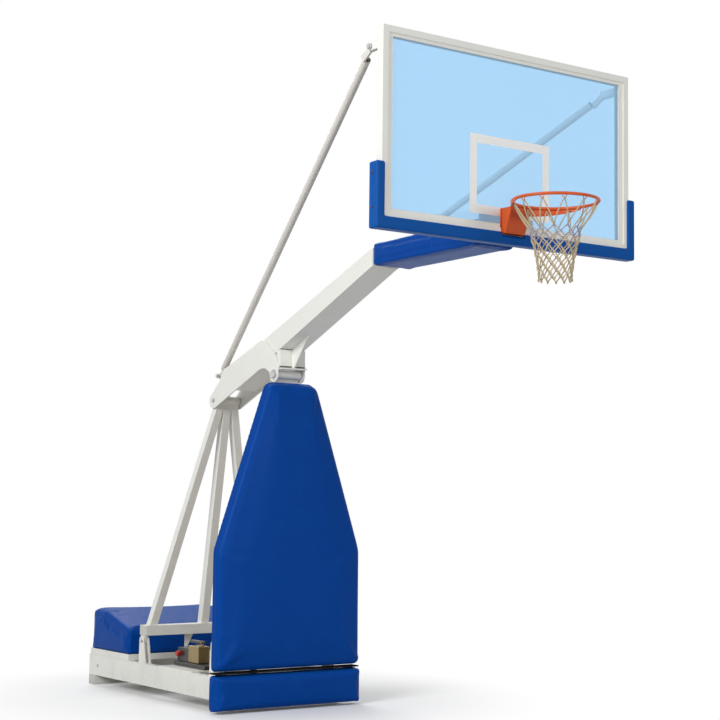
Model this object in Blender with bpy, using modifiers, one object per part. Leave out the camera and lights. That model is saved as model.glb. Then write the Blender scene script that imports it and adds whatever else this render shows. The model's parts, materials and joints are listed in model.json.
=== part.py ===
"""Portable basketball stand with a folding lift frame, in metres, +Z up.

The hoop faces -Y and the ballast is at +Y. The floor is z = 0 and x = 0 is the middle plane.
A mast leans on a shaft in the base, the arm hinges on the mast's head, a strut frame behind
the mast steers the arm's tail, and two tie rods keep the board upright while the frame folds.
"""
import math
import bmesh
import bpy
from mathutils import Matrix, Vector

NAME = "portable_basketball_stand"
GAP = 0.0003
CUT_REACH = 1.0
ROUND = 24

# Pivots in the middle plane, as (y, z)
MAST_FOOT = (0.635, 0.42)
ARM_PIVOT = (0.510, 2.23)
STRUT_HEAD = (1.315, 2.088)
STRUT_FOOT = (1.599, 0.381)
BOARD_PIVOT = (-1.705, 2.93)
ROD_TOP = (-1.655, 3.87)
ROD_FOOT = (1.345, 2.268)
CYLINDER_FOOT = (0.905, 0.20)
CYLINDER_HEAD = (0.655, 0.90)

# Base frame
BASE_HALF = 0.49
RAIL_WIDTH = 0.05
RAIL_BOTTOM = 0.07
RAIL_TOP = 0.22
RAIL_WALL = 0.005
RAIL_REAR = 2.424
FOOT_BEAM_DEPTH = 0.094
CROSS_DEPTH = 0.06
CROSS_WALL = 0.004
WHEEL_BEAM_TOP = RAIL_TOP - 0.02
MIDDLE_MEMBER_TOP = RAIL_BOTTOM + 0.06

# Front pads
PAD_FRONT = 0.40
PAD_THICKNESS = 0.10
PAD_BOARD = 0.015
PAD_BOARD_INSET = 0.03
LOWER_PAD_HALF = 0.58
LOWER_PAD_BOTTOM = 0.012
LOWER_PAD_TOP = 0.245
UPPER_PAD_HALF = LOWER_PAD_HALF - 0.002
UPPER_PAD_BOTTOM = 0.265
UPPER_PAD_SHOULDER = 1.05
UPPER_PAD_TOP = 2.175
UPPER_PAD_TOP_HALF = 0.195

# Backboard, set by the regulation height of the ring
RING_TOP = 3.05
BOARD_HALF = 0.915
BOARD_BOTTOM = RING_TOP - 0.155
BOARD_HEIGHT = 1.06
BOARD_TOP = BOARD_BOTTOM + BOARD_HEIGHT
BOARD_FRONT = -1.82
BOARD_DEPTH = 0.055
FRAME_FACE = 0.037
LIP_FACE = 0.070
GLASS_SIDE = 0.045
GLASS_FRONT = BOARD_FRONT + 0.020
GLASS_THICKNESS = 0.012

# Hoop
RING_INNER = 0.2285
RING_BAR = 0.009
RING_GAP_TO_GLASS = 0.152
RIM_HALF = 0.073
NET_COLUMNS = 12
NET_CORD = 0.006


def new_collection(name):
    """A collection linked to the scene."""
    made = bpy.data.collections.new(name)
    bpy.context.scene.collection.children.link(made)
    return made


def material(name, colour, roughness, metallic=0.0, alpha=1.0):
    """A Principled material from a linear colour."""
    made = bpy.data.materials.new(name)
    made.use_nodes = True
    shader = made.node_tree.nodes["Principled BSDF"]
    shader.inputs["Base Color"].default_value = (*colour, 1.0)
    shader.inputs["Roughness"].default_value = roughness
    shader.inputs["Metallic"].default_value = metallic
    shader.inputs["Alpha"].default_value = alpha
    return made


for old in list(bpy.data.objects):
    bpy.data.objects.remove(old)

PARTS = new_collection(NAME)
CUTTERS = new_collection(NAME + "_cutters")
WHITE = material("white_paint", (0.78, 0.78, 0.74), 0.35)
BLUE = material("blue_vinyl", (0.003, 0.045, 0.23), 0.45)
PLYWOOD = material("pad_board", (0.35, 0.24, 0.13), 0.7)
GLASS = material("board_glass", (0.45, 0.72, 0.97), 0.05, alpha=0.35)
GREY = material("grey_bead", (0.45, 0.45, 0.43), 0.5)
STEEL = material("zinc_steel", (0.55, 0.55, 0.55), 0.3, 0.9)
ORANGE = material("orange_paint", (0.72, 0.14, 0.045), 0.35)
ROPE = material("net_rope", (0.60, 0.46, 0.28), 0.9)
IRON = material("ballast_iron", (0.12, 0.12, 0.12), 0.6, 0.5)
BLACK = material("black_paint", (0.02, 0.02, 0.02), 0.4)
BRASS = material("brass", (0.55, 0.38, 0.16), 0.35, 0.8)
RED = material("red_knob", (0.60, 0.02, 0.02), 0.4)
RUBBER = material("wheel_tread", (0.03, 0.03, 0.03), 0.8)


def finish(obj, mat, group=PARTS):
    """Link an object to its collection and give it its material."""
    group.objects.link(obj)
    if obj.data.materials:
        obj.data.materials[0] = mat
    else:
        obj.data.materials.append(mat)
    return obj


def smooth(obj):
    """Shade round faces smooth and keep the hard edges."""
    obj.data.shade_smooth()
    obj.data.set_sharp_from_angle(angle=math.radians(35))
    return obj


def mesh_object(name, bm, mat, centre=(0, 0, 0), group=PARTS):
    """An object from a bmesh whose local origin is the given centre."""
    data = bpy.data.meshes.new(name)
    bm.to_mesh(data)
    bm.free()
    obj = bpy.data.objects.new(name, data)
    obj.location = centre
    return finish(obj, mat, group)


def modifier(obj, kind, **values):
    """Add a modifier with the given settings."""
    made = obj.modifiers.new(kind.lower(), kind)
    for key, value in values.items():
        setattr(made, key, value)
    return made


def shell(obj, wall):
    """Give an open surface a wall that grows inwards."""
    modifier(obj, "SOLIDIFY", thickness=wall, offset=-1.0, use_even_offset=True)
    return obj


def bevel(obj, width, segments=2):
    """Round the edges of an object."""
    modifier(obj, "BEVEL", width=width, segments=segments, limit_method="ANGLE")
    return obj


def box(name, mat, x, y, z, group=PARTS):
    """A block between the given pairs of limits."""
    centre = Vector((sum(x) / 2, sum(y) / 2, sum(z) / 2))
    bm = bmesh.new()
    bmesh.ops.create_cube(bm, size=1.0)
    size = (abs(x[1] - x[0]), abs(y[1] - y[0]), abs(z[1] - z[0]))
    bmesh.ops.scale(bm, vec=size, verts=bm.verts)
    return mesh_object(name, bm, mat, centre, group)


def open_box(name, mat, x, y, z, wall, open_axes):
    """A block with the faces along some axes left out, and a wall on the others."""
    obj = box(name, mat, x, y, z)
    bm = bmesh.new()
    bm.from_mesh(obj.data)
    gone = [face for face in bm.faces if any(face.normal.dot(Vector(axis)) > 0.9 for axis in open_axes)]
    bmesh.ops.delete(bm, geom=gone, context="FACES")
    bm.to_mesh(obj.data)
    bm.free()
    return shell(obj, wall)


X_ENDS = ((1, 0, 0), (-1, 0, 0))
Y_ENDS = ((0, 1, 0), (0, -1, 0))
TOP = ((0, 0, 1),)
BOTTOM = ((0, 0, -1),)


def frame_along(start, end):
    """A matrix at the start with its Z axis towards the end."""
    start = Vector(start)
    turn = Vector((0, 0, 1)).rotation_difference(Vector(end) - start).to_matrix().to_4x4()
    return Matrix.Translation(start) @ turn


def rod(name, mat, start, end, radius, group=PARTS, sides=ROUND, wall=0.0):
    """A round bar, or a tube with open ends where it has a wall."""
    length = (Vector(end) - Vector(start)).length
    bm = bmesh.new()
    bmesh.ops.create_cone(bm, cap_ends=not wall, segments=sides, radius1=radius, radius2=radius, depth=length)
    bmesh.ops.translate(bm, vec=(0, 0, length / 2), verts=bm.verts)
    obj = mesh_object(name, bm, mat, group=group)
    obj.matrix_world = frame_along(start, end)
    if wall:
        shell(obj, wall)
    return smooth(obj)


def cross_rod(name, mat, half, pivot, radius, group=PARTS, sides=ROUND, wall=0.0, middle=0.0):
    """A bar or tube across the stand, centred on a pivot."""
    ends = [(middle + side * half, *pivot) for side in (-1, 1)]
    return rod(name, mat, ends[0], ends[1], radius, group, sides, wall)


def cut(obj, cutter):
    """Take a cutter away from an object."""
    cutter.hide_render = True
    cutter.display_type = "WIRE"
    modifier(obj, "BOOLEAN", operation="DIFFERENCE", object=cutter, solver="EXACT")
    return obj


def join(obj, other):
    """Weld another shape to an object. The other one stays as a guide."""
    for group in list(other.users_collection):
        group.objects.unlink(other)
    CUTTERS.objects.link(other)
    other.hide_render = True
    other.display_type = "WIRE"
    modifier(obj, "BOOLEAN", operation="UNION", object=other, solver="EXACT")
    return obj


def arc(centre, radius, first, last, steps=8):
    """Points on an arc, with its angles in degrees from the first outline axis."""
    angles = [math.radians(first + (last - first) * i / steps) for i in range(steps + 1)]
    return [(centre[0] + radius * math.cos(a), centre[1] + radius * math.sin(a)) for a in angles]


def circle(centre, radius, sides=ROUND):
    """Points of a full circle."""
    return arc(centre, radius, 0, 360, sides)[:-1]


PLANES = {
    "YZ": Matrix(((0, 0, 1, 0), (1, 0, 0, 0), (0, 1, 0, 0), (0, 0, 0, 1))),
    "XY": Matrix.Identity(4),
    "XZ": Matrix(((1, 0, 0, 0), (0, 0, -1, 0), (0, 1, 0, 0), (0, 0, 0, 1))),
}


def plate(name, mat, plane, outlines, low, high, group=PARTS):
    """A flat plate from closed outlines, the first outside and the others holes.

    The plate spans low to high along the axis that is square to its plane.
    """
    data = bpy.data.curves.new(name, "CURVE")
    data.dimensions = "2D"
    data.fill_mode = "BOTH"
    data.extrude = (high - low) / 2
    data.render_resolution_u = 0
    for points in outlines:
        spline = data.splines.new("POLY")
        spline.points.add(len(points) - 1)
        for point, (u, v) in zip(spline.points, points):
            point.co = (u, v, 0, 1)
        spline.use_cyclic_u = True
    guide = bpy.data.objects.new(name + "_outline", data)
    CUTTERS.objects.link(guide)
    offset = -(low + high) / 2 if plane == "XZ" else (low + high) / 2
    guide.matrix_world = PLANES[plane] @ Matrix.Translation((0, 0, offset))
    place = guide.matrix_world.copy()
    evaluated = guide.evaluated_get(bpy.context.evaluated_depsgraph_get())
    solid = bpy.data.meshes.new_from_object(evaluated)
    bm = bmesh.new()
    bm.from_mesh(solid)
    bmesh.ops.remove_doubles(bm, verts=bm.verts, dist=0.00001)
    if len(outlines) == 1:
        bmesh.ops.dissolve_limit(bm, angle_limit=0.001, verts=bm.verts, edges=bm.edges)
    bmesh.ops.recalc_face_normals(bm, faces=bm.faces)
    bm.to_mesh(solid)
    bm.free()
    bpy.data.objects.remove(guide)
    obj = bpy.data.objects.new(name, solid)
    obj.matrix_world = place
    return finish(obj, mat, group)


def leaning_block(name, mat, low, high, size, group=PARTS):
    """A leaning block with level ends, from the middle of its foot to the middle of its head."""
    bm = bmesh.new()
    bmesh.ops.create_cube(bm, size=1.0)
    for vert in bm.verts:
        end = Vector(high if vert.co.z > 0 else low)
        vert.co = Vector((end.x + vert.co.x * size[0], end.y + vert.co.y * size[1], end.z)) - Vector(low)
    return mesh_object(name, bm, mat, low, group)


def leaning_tube(name, mat, low, high, size, wall):
    """A leaning box tube with level open ends."""
    beyond = (Vector(high) - Vector(low)) * 0.02
    inner = leaning_block(name + "_bore", mat, Vector(low) - beyond, Vector(high) + beyond,
                          (size[0] - 2 * wall, size[1] - 2 * wall), CUTTERS)
    return cut(leaning_block(name, mat, low, high, size), inner)


def side_name(side):
    """The word for a side of the stand."""
    return "left" if side < 0 else "right"


def span(side, near, far):
    """Limits along X on one side, in rising order."""
    return tuple(sorted((side * near, side * far)))


def hang_on(pivot, objects, name):
    """Parent objects to an empty that stands on their joint's axis."""
    empty = bpy.data.objects.new(name, None)
    PARTS.objects.link(empty)
    empty.location = pivot
    back = Matrix.Translation(-Vector(pivot))
    for obj in objects:
        place = obj.matrix_world.copy() if obj.matrix_world != Matrix.Identity(4) else obj.matrix_basis.copy()
        obj.parent = empty
        obj.matrix_parent_inverse = back
        obj.matrix_basis = place
    return empty


RAIL_INNER = BASE_HALF - RAIL_WIDTH
PAD_REAR = PAD_FRONT + PAD_THICKNESS
RAIL_FRONT = PAD_REAR + PAD_BOARD + 2 * GAP
ON_RAIL = RAIL_TOP + GAP
INSIDE_RAIL = RAIL_INNER - GAP


def base_frame():
    """Two rails, the cross members between them and the rear foot."""
    foot_top = RAIL_BOTTOM - GAP
    foot_front = RAIL_REAR - FOOT_BEAM_DEPTH
    made = {}
    for side in (-1, 1):
        name = "side_rail_" + side_name(side)
        made[name] = open_box(name, WHITE, span(side, RAIL_INNER, BASE_HALF), (RAIL_FRONT, RAIL_REAR),
                              (RAIL_BOTTOM, RAIL_TOP), RAIL_WALL, Y_ENDS)
    members = {
        "front_cross_member": (RAIL_FRONT, RAIL_FRONT + CROSS_DEPTH, RAIL_BOTTOM, RAIL_TOP),
        "front_wheel_beam": (FRONT_WHEEL_Y - CROSS_DEPTH / 2, FRONT_WHEEL_Y + CROSS_DEPTH / 2,
                             WHEEL_BEAM_BOTTOM, WHEEL_BEAM_TOP),
        "middle_cross_member": (CYLINDER_FOOT[0] - CROSS_DEPTH / 2, CYLINDER_FOOT[0] + CROSS_DEPTH / 2,
                                RAIL_BOTTOM, MIDDLE_MEMBER_TOP),
        "rear_wheel_beam": (REAR_SWIVEL - CROSS_DEPTH / 2, REAR_SWIVEL + CROSS_DEPTH / 2,
                            WHEEL_BEAM_BOTTOM, WHEEL_BEAM_TOP),
    }
    for name, (front, rear, bottom, top) in members.items():
        made[name] = open_box(name, WHITE, (-INSIDE_RAIL, INSIDE_RAIL), (front, rear), (bottom, top), CROSS_WALL,
                              X_ENDS)
    open_box("rear_foot_beam", WHITE, (-BASE_HALF, BASE_HALF), (foot_front, RAIL_REAR), (0.0, foot_top),
             RAIL_WALL, X_ENDS)
    return made


WELD = 0.002
WHEEL_RADIUS = 0.0625
WHEEL_WIDTH = 0.03
WHEEL_LIFT = 0.006
AXLE_RADIUS = 0.0075
AXLE_PLAY = 0.0006
CHEEK = 0.004
CHEEK_GAP = 0.0015
CHEEK_EYE = 0.013
FORK_NOSE = 0.026
FORK_TAIL = 0.012
FORK_TOP = 0.142
FORK_PLATE = 0.006
WHEEL_BEAM_BOTTOM = FORK_TOP + GAP
FRONT_WHEEL_X = BASE_HALF - 0.16
FRONT_WHEEL_Y = 0.72
REAR_SWIVEL_X = BASE_HALF - 0.27
REAR_SWIVEL = 2.02
TRAIL = 0.03


def castor(name, x, swivel_y, trail, top=FORK_TOP):
    """A castor fork with its axle welded in, and the wheel that turns on the axle."""
    wheel_y = swivel_y + trail
    axle_z = WHEEL_RADIUS + WHEEL_LIFT
    inner = WHEEL_WIDTH / 2 + CHEEK_GAP
    outer = inner + CHEEK
    under = FORK_TOP - FORK_PLATE
    bridge = [(x - outer, under), (x + outer, under), (x + outer, top), (x - outer, top)]
    fork = plate(name + "_fork", STEEL, "XZ", [bridge], swivel_y - FORK_NOSE, wheel_y + FORK_TAIL)
    for side in (-1, 1):
        low, high = sorted((x + side * inner, x + side * outer))
        cheek = [(swivel_y - FORK_NOSE, under + WELD), (wheel_y - CHEEK_EYE, axle_z)]
        cheek += arc((wheel_y, axle_z), CHEEK_EYE, 180, 360)[1:] + [(wheel_y + FORK_TAIL, under + WELD)]
        join(fork, plate(name + "_cheek", STEEL, "YZ", [cheek], low, high))
    axle = cross_rod(name + "_axle", STEEL, inner + CHEEK / 2, (wheel_y, axle_z), AXLE_RADIUS, middle=x)
    join(fork, axle)
    tyre = rod(name + "_wheel", RUBBER, (x - WHEEL_WIDTH / 2, wheel_y, axle_z),
               (x + WHEEL_WIDTH / 2, wheel_y, axle_z), WHEEL_RADIUS,
               wall=WHEEL_RADIUS - AXLE_RADIUS - AXLE_PLAY)
    return fork, tyre, (x, wheel_y, axle_z)


def castors(front_beam):
    """Two fixed wheels under the front beam and two swivelling ones behind."""
    for side in (-1, 1):
        fork, tyre, centre = castor("front_castor_" + side_name(side), side * FRONT_WHEEL_X, FRONT_WHEEL_Y, 0.0,
                                    FORK_TOP + GAP + WELD)
        join(front_beam, fork)
        hang_on(centre, [tyre], "front_axle_pivot_" + side_name(side))
        fork, tyre, centre = castor("rear_castor_" + side_name(side), side * REAR_SWIVEL_X, REAR_SWIVEL, TRAIL)
        hang_on((side * REAR_SWIVEL_X, REAR_SWIVEL, FORK_TOP), [fork], "swivel_" + side_name(side))
        hang_on(centre, [tyre], "rear_axle_pivot_" + side_name(side))


JACK_X = BASE_HALF - 0.082
JACK_Y = 0.63
JACK_SCREW = 0.009
JACK_FOOT = 0.028
JACK_FOOT_HEIGHT = 0.014
JACK_TOP = 0.25
JACK_BAR = 0.005
JACK_BAR_HALF = 0.04
JACK_NUT_HALF = 0.02
JACK_NUT = (RAIL_BOTTOM + 0.03, RAIL_BOTTOM + 0.08)


def jacks(rails):
    """Screw jacks in nut blocks welded to the rails' inner faces."""
    for side in (-1, 1):
        x = side * JACK_X
        name = "front_jack_" + side_name(side)
        near = JACK_X - JACK_NUT_HALF - 0.0015
        block = box(name + "_nut", WHITE, span(side, near, RAIL_INNER + WELD),
                    (JACK_Y - JACK_NUT_HALF, JACK_Y + JACK_NUT_HALF), JACK_NUT)
        join(rails[side], block)
        cut(block, rod(name + "_bore", STEEL, (x, JACK_Y, RAIL_BOTTOM), (x, JACK_Y, RAIL_TOP), JACK_SCREW + AXLE_PLAY,
                       CUTTERS))
        screw = rod(name, STEEL, (x, JACK_Y, 0.0), (x, JACK_Y, JACK_FOOT_HEIGHT), JACK_FOOT)
        join(screw, rod(name + "_thread", STEEL, (x, JACK_Y, JACK_FOOT_HEIGHT - WELD), (x, JACK_Y, JACK_TOP),
                        JACK_SCREW))
        bar_z = JACK_TOP - 2 * JACK_BAR
        join(screw, rod(name + "_bar", STEEL, (x, JACK_Y - JACK_BAR_HALF, bar_z),
                        (x, JACK_Y + JACK_BAR_HALF, bar_z), JACK_BAR))


TRAY_FRONT = 1.798
TRAY_REAR = 2.41
TRAY_WALL = 0.004
TRAY_TOP = 0.265
BLOCK_COUNT = 2
BLOCK_HEIGHT = 0.13
COVER_WALL = 0.022
COVER_TOP_REAR = 0.565
COVER_TOP_FRONT = 0.445
COVER_SLOPE_END = 0.35
COVER_EDGE_DROP = 0.012
COVER_CREASE_Y = 0.85
COVER_CREASE_X = BASE_HALF - 0.04
BLOCK_MARGIN = 0.03
BLOCK_CLEARANCE = 0.004


def ballast():
    """The open tray, the iron blocks in it and the padded cover over them."""
    open_box("ballast_tray", WHITE, (-BASE_HALF, BASE_HALF), (TRAY_FRONT, TRAY_REAR), (ON_RAIL, TRAY_TOP),
             TRAY_WALL, TOP)
    inner = BASE_HALF - COVER_WALL - BLOCK_CLEARANCE
    pitch = 2 * inner / BLOCK_COUNT
    floor = ON_RAIL + TRAY_WALL + GAP
    for index in range(BLOCK_COUNT):
        left = -inner + index * pitch
        block = box("ballast_block_%d" % (index + 1), IRON, (left + GAP, left + pitch - GAP),
                    (TRAY_FRONT + BLOCK_MARGIN, TRAY_REAR - BLOCK_MARGIN), (floor, floor + BLOCK_HEIGHT))
        bevel(block, 0.004)
    cover = open_box("ballast_cover", BLUE, (-BASE_HALF, BASE_HALF), (TRAY_FRONT, TRAY_REAR),
                     (TRAY_TOP + GAP, COVER_TOP_REAR), COVER_WALL, BOTTOM)
    solid = cover.modifiers[0]
    cover.modifiers.remove(solid)
    bm = bmesh.new()
    bm.from_mesh(cover.data)
    half = (COVER_TOP_REAR - TRAY_TOP - GAP) / 2
    depth = (TRAY_REAR - TRAY_FRONT) / 2
    for edge_y in (COVER_SLOPE_END, -COVER_CREASE_Y, COVER_CREASE_Y):
        bmesh.ops.bisect_plane(bm, geom=bm.verts[:] + bm.edges[:] + bm.faces[:],
                               plane_co=(0, edge_y * depth, 0), plane_no=(0, 1, 0))
    for edge_x in (-COVER_CREASE_X, COVER_CREASE_X):
        bmesh.ops.bisect_plane(bm, geom=bm.verts[:] + bm.edges[:] + bm.faces[:],
                               plane_co=(edge_x, 0, 0), plane_no=(1, 0, 0))
    slope = (COVER_TOP_REAR - COVER_TOP_FRONT) / ((1 + COVER_SLOPE_END) * depth)
    for vert in bm.verts:
        if vert.co.z < half - 0.001:
            continue
        back = max(0.0, COVER_SLOPE_END * depth - vert.co.y)
        vert.co.z -= slope * back
        if abs(vert.co.y) > 0.99 * depth or abs(vert.co.x) > BASE_HALF - 0.001:
            vert.co.z -= COVER_EDGE_DROP
    bm.to_mesh(cover.data)
    bm.free()
    bevel(cover, COVER_WALL, 3)
    shell(cover, COVER_WALL)


SHAFT = 0.015
BUSH_WALL = 0.0145
FOOT_TUBE_HALF = BASE_HALF - 0.04
BRACKET_WALL = 0.012
BRACKET_PLAY = 0.003
UPRIGHT_HALF = 0.055
UPRIGHT_EYE = 0.04
SHAFT_END = 0.006
EAR_PLAY = 0.0015
EAR_WALL = 0.012
EAR_EYE = 0.032
LEDGE = (0.066, 0.039)
LEDGE_HEIGHT = 0.008


def pivot_brackets(rails):
    """The mast's foot shaft on two uprights, and a clevis on each rail for the strut frame."""
    pivot_y = MAST_FOOT[0]
    near = FOOT_TUBE_HALF + BRACKET_PLAY
    shaft = cross_rod("mast_foot_shaft", WHITE, near + BRACKET_WALL + SHAFT_END, MAST_FOOT, SHAFT)
    outline = [(pivot_y - UPRIGHT_HALF, ON_RAIL), (pivot_y + UPRIGHT_HALF, ON_RAIL)]
    outline += arc(MAST_FOOT, UPRIGHT_EYE, 0, 180)
    for side in (-1, 1):
        join(shaft, plate("mast_upright", WHITE, "YZ", [outline], *span(side, near, near + BRACKET_WALL)))
    strut_y = STRUT_FOOT[0]
    outline = [(strut_y - LEDGE[0], RAIL_TOP - WELD), (strut_y + LEDGE[1], RAIL_TOP - WELD)]
    outline += arc(STRUT_FOOT, EAR_EYE, 0, 180)
    for side in (-1, 1):
        rail = rails[side]
        ledge = box("strut_ledge", WHITE, span(side, LUG_INNER - EAR_PLAY - EAR_WALL - 0.001, BASE_HALF + WELD),
                    (strut_y - LEDGE[0] - WELD, strut_y + LEDGE[1] + WELD),
                    (RAIL_TOP - WELD, RAIL_TOP + LEDGE_HEIGHT))
        join(rail, ledge)
        for near, far in ((LUG_INNER - EAR_PLAY - EAR_WALL, LUG_INNER - EAR_PLAY),
                          (LUG_OUTER + EAR_PLAY, BASE_HALF + WELD)):
            join(rail, plate("strut_ear", WHITE, "YZ", [outline], *span(side, near, far)))
        join(rail, cross_rod("strut_foot_pin", STEEL, 0.024, STRUT_FOOT, STRUT_PIN,
                             middle=side * (LUG_INNER + LUG_OUTER) / 2))


LUG_INNER = BASE_HALF - 0.0305
LUG_OUTER = BASE_HALF - 0.0075
STRUT_PIN = 0.009


def cushion(name, outline, front, rear, crown, rounding):
    """An upright pad with rounded edges and a front that swells towards the middle."""
    middle = Vector((sum(p[0] for p in outline) / len(outline), sum(p[1] for p in outline) / len(outline)))
    turns = [math.radians(angle) for angle in (0, 30, 60, 90)]
    levels = [(rounding * 0.5 * (1 - math.sin(a)), rear - rounding * 0.5 * (1 - math.cos(a))) for a in turns]
    levels += [(rounding * (1 - math.cos(a)), front + rounding * (1 - math.sin(a))) for a in turns]
    bm = bmesh.new()
    rings = []
    for inset, depth in levels:
        ring = []
        for point in outline:
            inward = (middle - Vector(point)).normalized() * inset
            ring.append(bm.verts.new((point[0] + inward.x, depth, point[1] + inward.y)))
        rings.append(ring)
    for share in (0.8, 0.55, 0.28):
        ring = []
        for vert in rings[len(levels) - 1]:
            x = middle.x + (vert.co.x - middle.x) * share
            z = middle.y + (vert.co.z - middle.y) * share
            ring.append(bm.verts.new((x, front - crown * (1 - share ** 2), z)))
        rings.append(ring)
    for near, far in zip(rings, rings[1:]):
        for i in range(len(outline)):
            j = (i + 1) % len(outline)
            bm.faces.new((near[i], near[j], far[j], far[i]))
    bm.faces.new(rings[0])
    bm.faces.new(rings[-1])
    bmesh.ops.recalc_face_normals(bm, faces=bm.faces)
    return smooth(mesh_object(name, bm, BLUE))


def round_corners(corners, radii, steps=5):
    """An outline from its corners, each one rounded to its own radius."""
    points = []
    count = len(corners)
    for i, (corner, radius) in enumerate(zip(corners, radii)):
        here = Vector(corner)
        before = (Vector(corners[i - 1]) - here).normalized()
        after = (Vector(corners[(i + 1) % count]) - here).normalized()
        half = before.angle(after) / 2
        reach = radius / math.tan(half)
        middle = here + (before + after).normalized() * radius / math.sin(half)
        first = here + before * reach - middle
        last = here + after * reach - middle
        turn = first.angle_signed(last)
        for k in range(steps + 1):
            arm = first.copy()
            arm.rotate(Matrix.Rotation(-turn * k / steps, 2))
            points.append(tuple(middle + arm))
    return points


def front_pads():
    """The low pad on the base and the tall tapered pad on the mast, each on its board."""
    low = round_corners([(-LOWER_PAD_HALF, LOWER_PAD_BOTTOM), (LOWER_PAD_HALF, LOWER_PAD_BOTTOM),
                         (LOWER_PAD_HALF, LOWER_PAD_TOP), (-LOWER_PAD_HALF, LOWER_PAD_TOP)], [0.02] * 4)
    cushion("lower_front_pad", low, PAD_FRONT, PAD_REAR, 0.006, 0.03)
    board = (PAD_REAR + GAP, PAD_REAR + GAP + PAD_BOARD)
    edge = PAD_BOARD_INSET
    box("lower_pad_board", PLYWOOD, (-LOWER_PAD_HALF + edge, LOWER_PAD_HALF - edge), board,
        (LOWER_PAD_BOTTOM + edge, LOWER_PAD_TOP - 0.012))
    tall = [(-UPPER_PAD_HALF, UPPER_PAD_BOTTOM), (UPPER_PAD_HALF, UPPER_PAD_BOTTOM),
            (UPPER_PAD_HALF, UPPER_PAD_SHOULDER), (UPPER_PAD_TOP_HALF, UPPER_PAD_TOP),
            (-UPPER_PAD_TOP_HALF, UPPER_PAD_TOP), (-UPPER_PAD_HALF, UPPER_PAD_SHOULDER)]
    pad = cushion("upper_front_pad", round_corners(tall, [0.04, 0.04, 0.15, 0.07, 0.07, 0.15]),
                  PAD_FRONT, PAD_REAR, 0.012, 0.045)
    inner = [(x - math.copysign(edge, x), z + (edge if z < 1 else -edge if z > 2 else 0)) for x, z in tall]
    backing = plate("upper_pad_board", PLYWOOD, "XZ", [inner], *board)
    return [pad, backing]


def along_mast(z, top_y, top_z):
    """The Y of the mast posts' middle at a height."""
    share = (z - MAST_FOOT[1]) / (top_z - MAST_FOOT[1])
    return MAST_FOOT[0] + (top_y - MAST_FOOT[0]) * share


POST_DEPTH = 0.06
POST_WIDTH = 0.08
POST_FOOT_X = 0.385
POST_HEAD_X = 0.0545
HEAD_TUBE = 0.030
STANDOFF_X = (0.34, 0.38)
STANDOFF_Z = 0.55
CROSS_RAIL = 0.06
CROSS_RAIL_DEPTH = 0.044
UPPER_RAIL_Z = 1.55
LOWER_RAIL_Z = CYLINDER_HEAD[1] + 0.055
CLEVIS_SIDES = (0.026, 0.034)
CLEVIS_PIN_HALF = 0.042
HEAD_HALF = 0.095
HEAD_BLOCK = 0.10
ARM_SHAFT = 0.018


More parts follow.
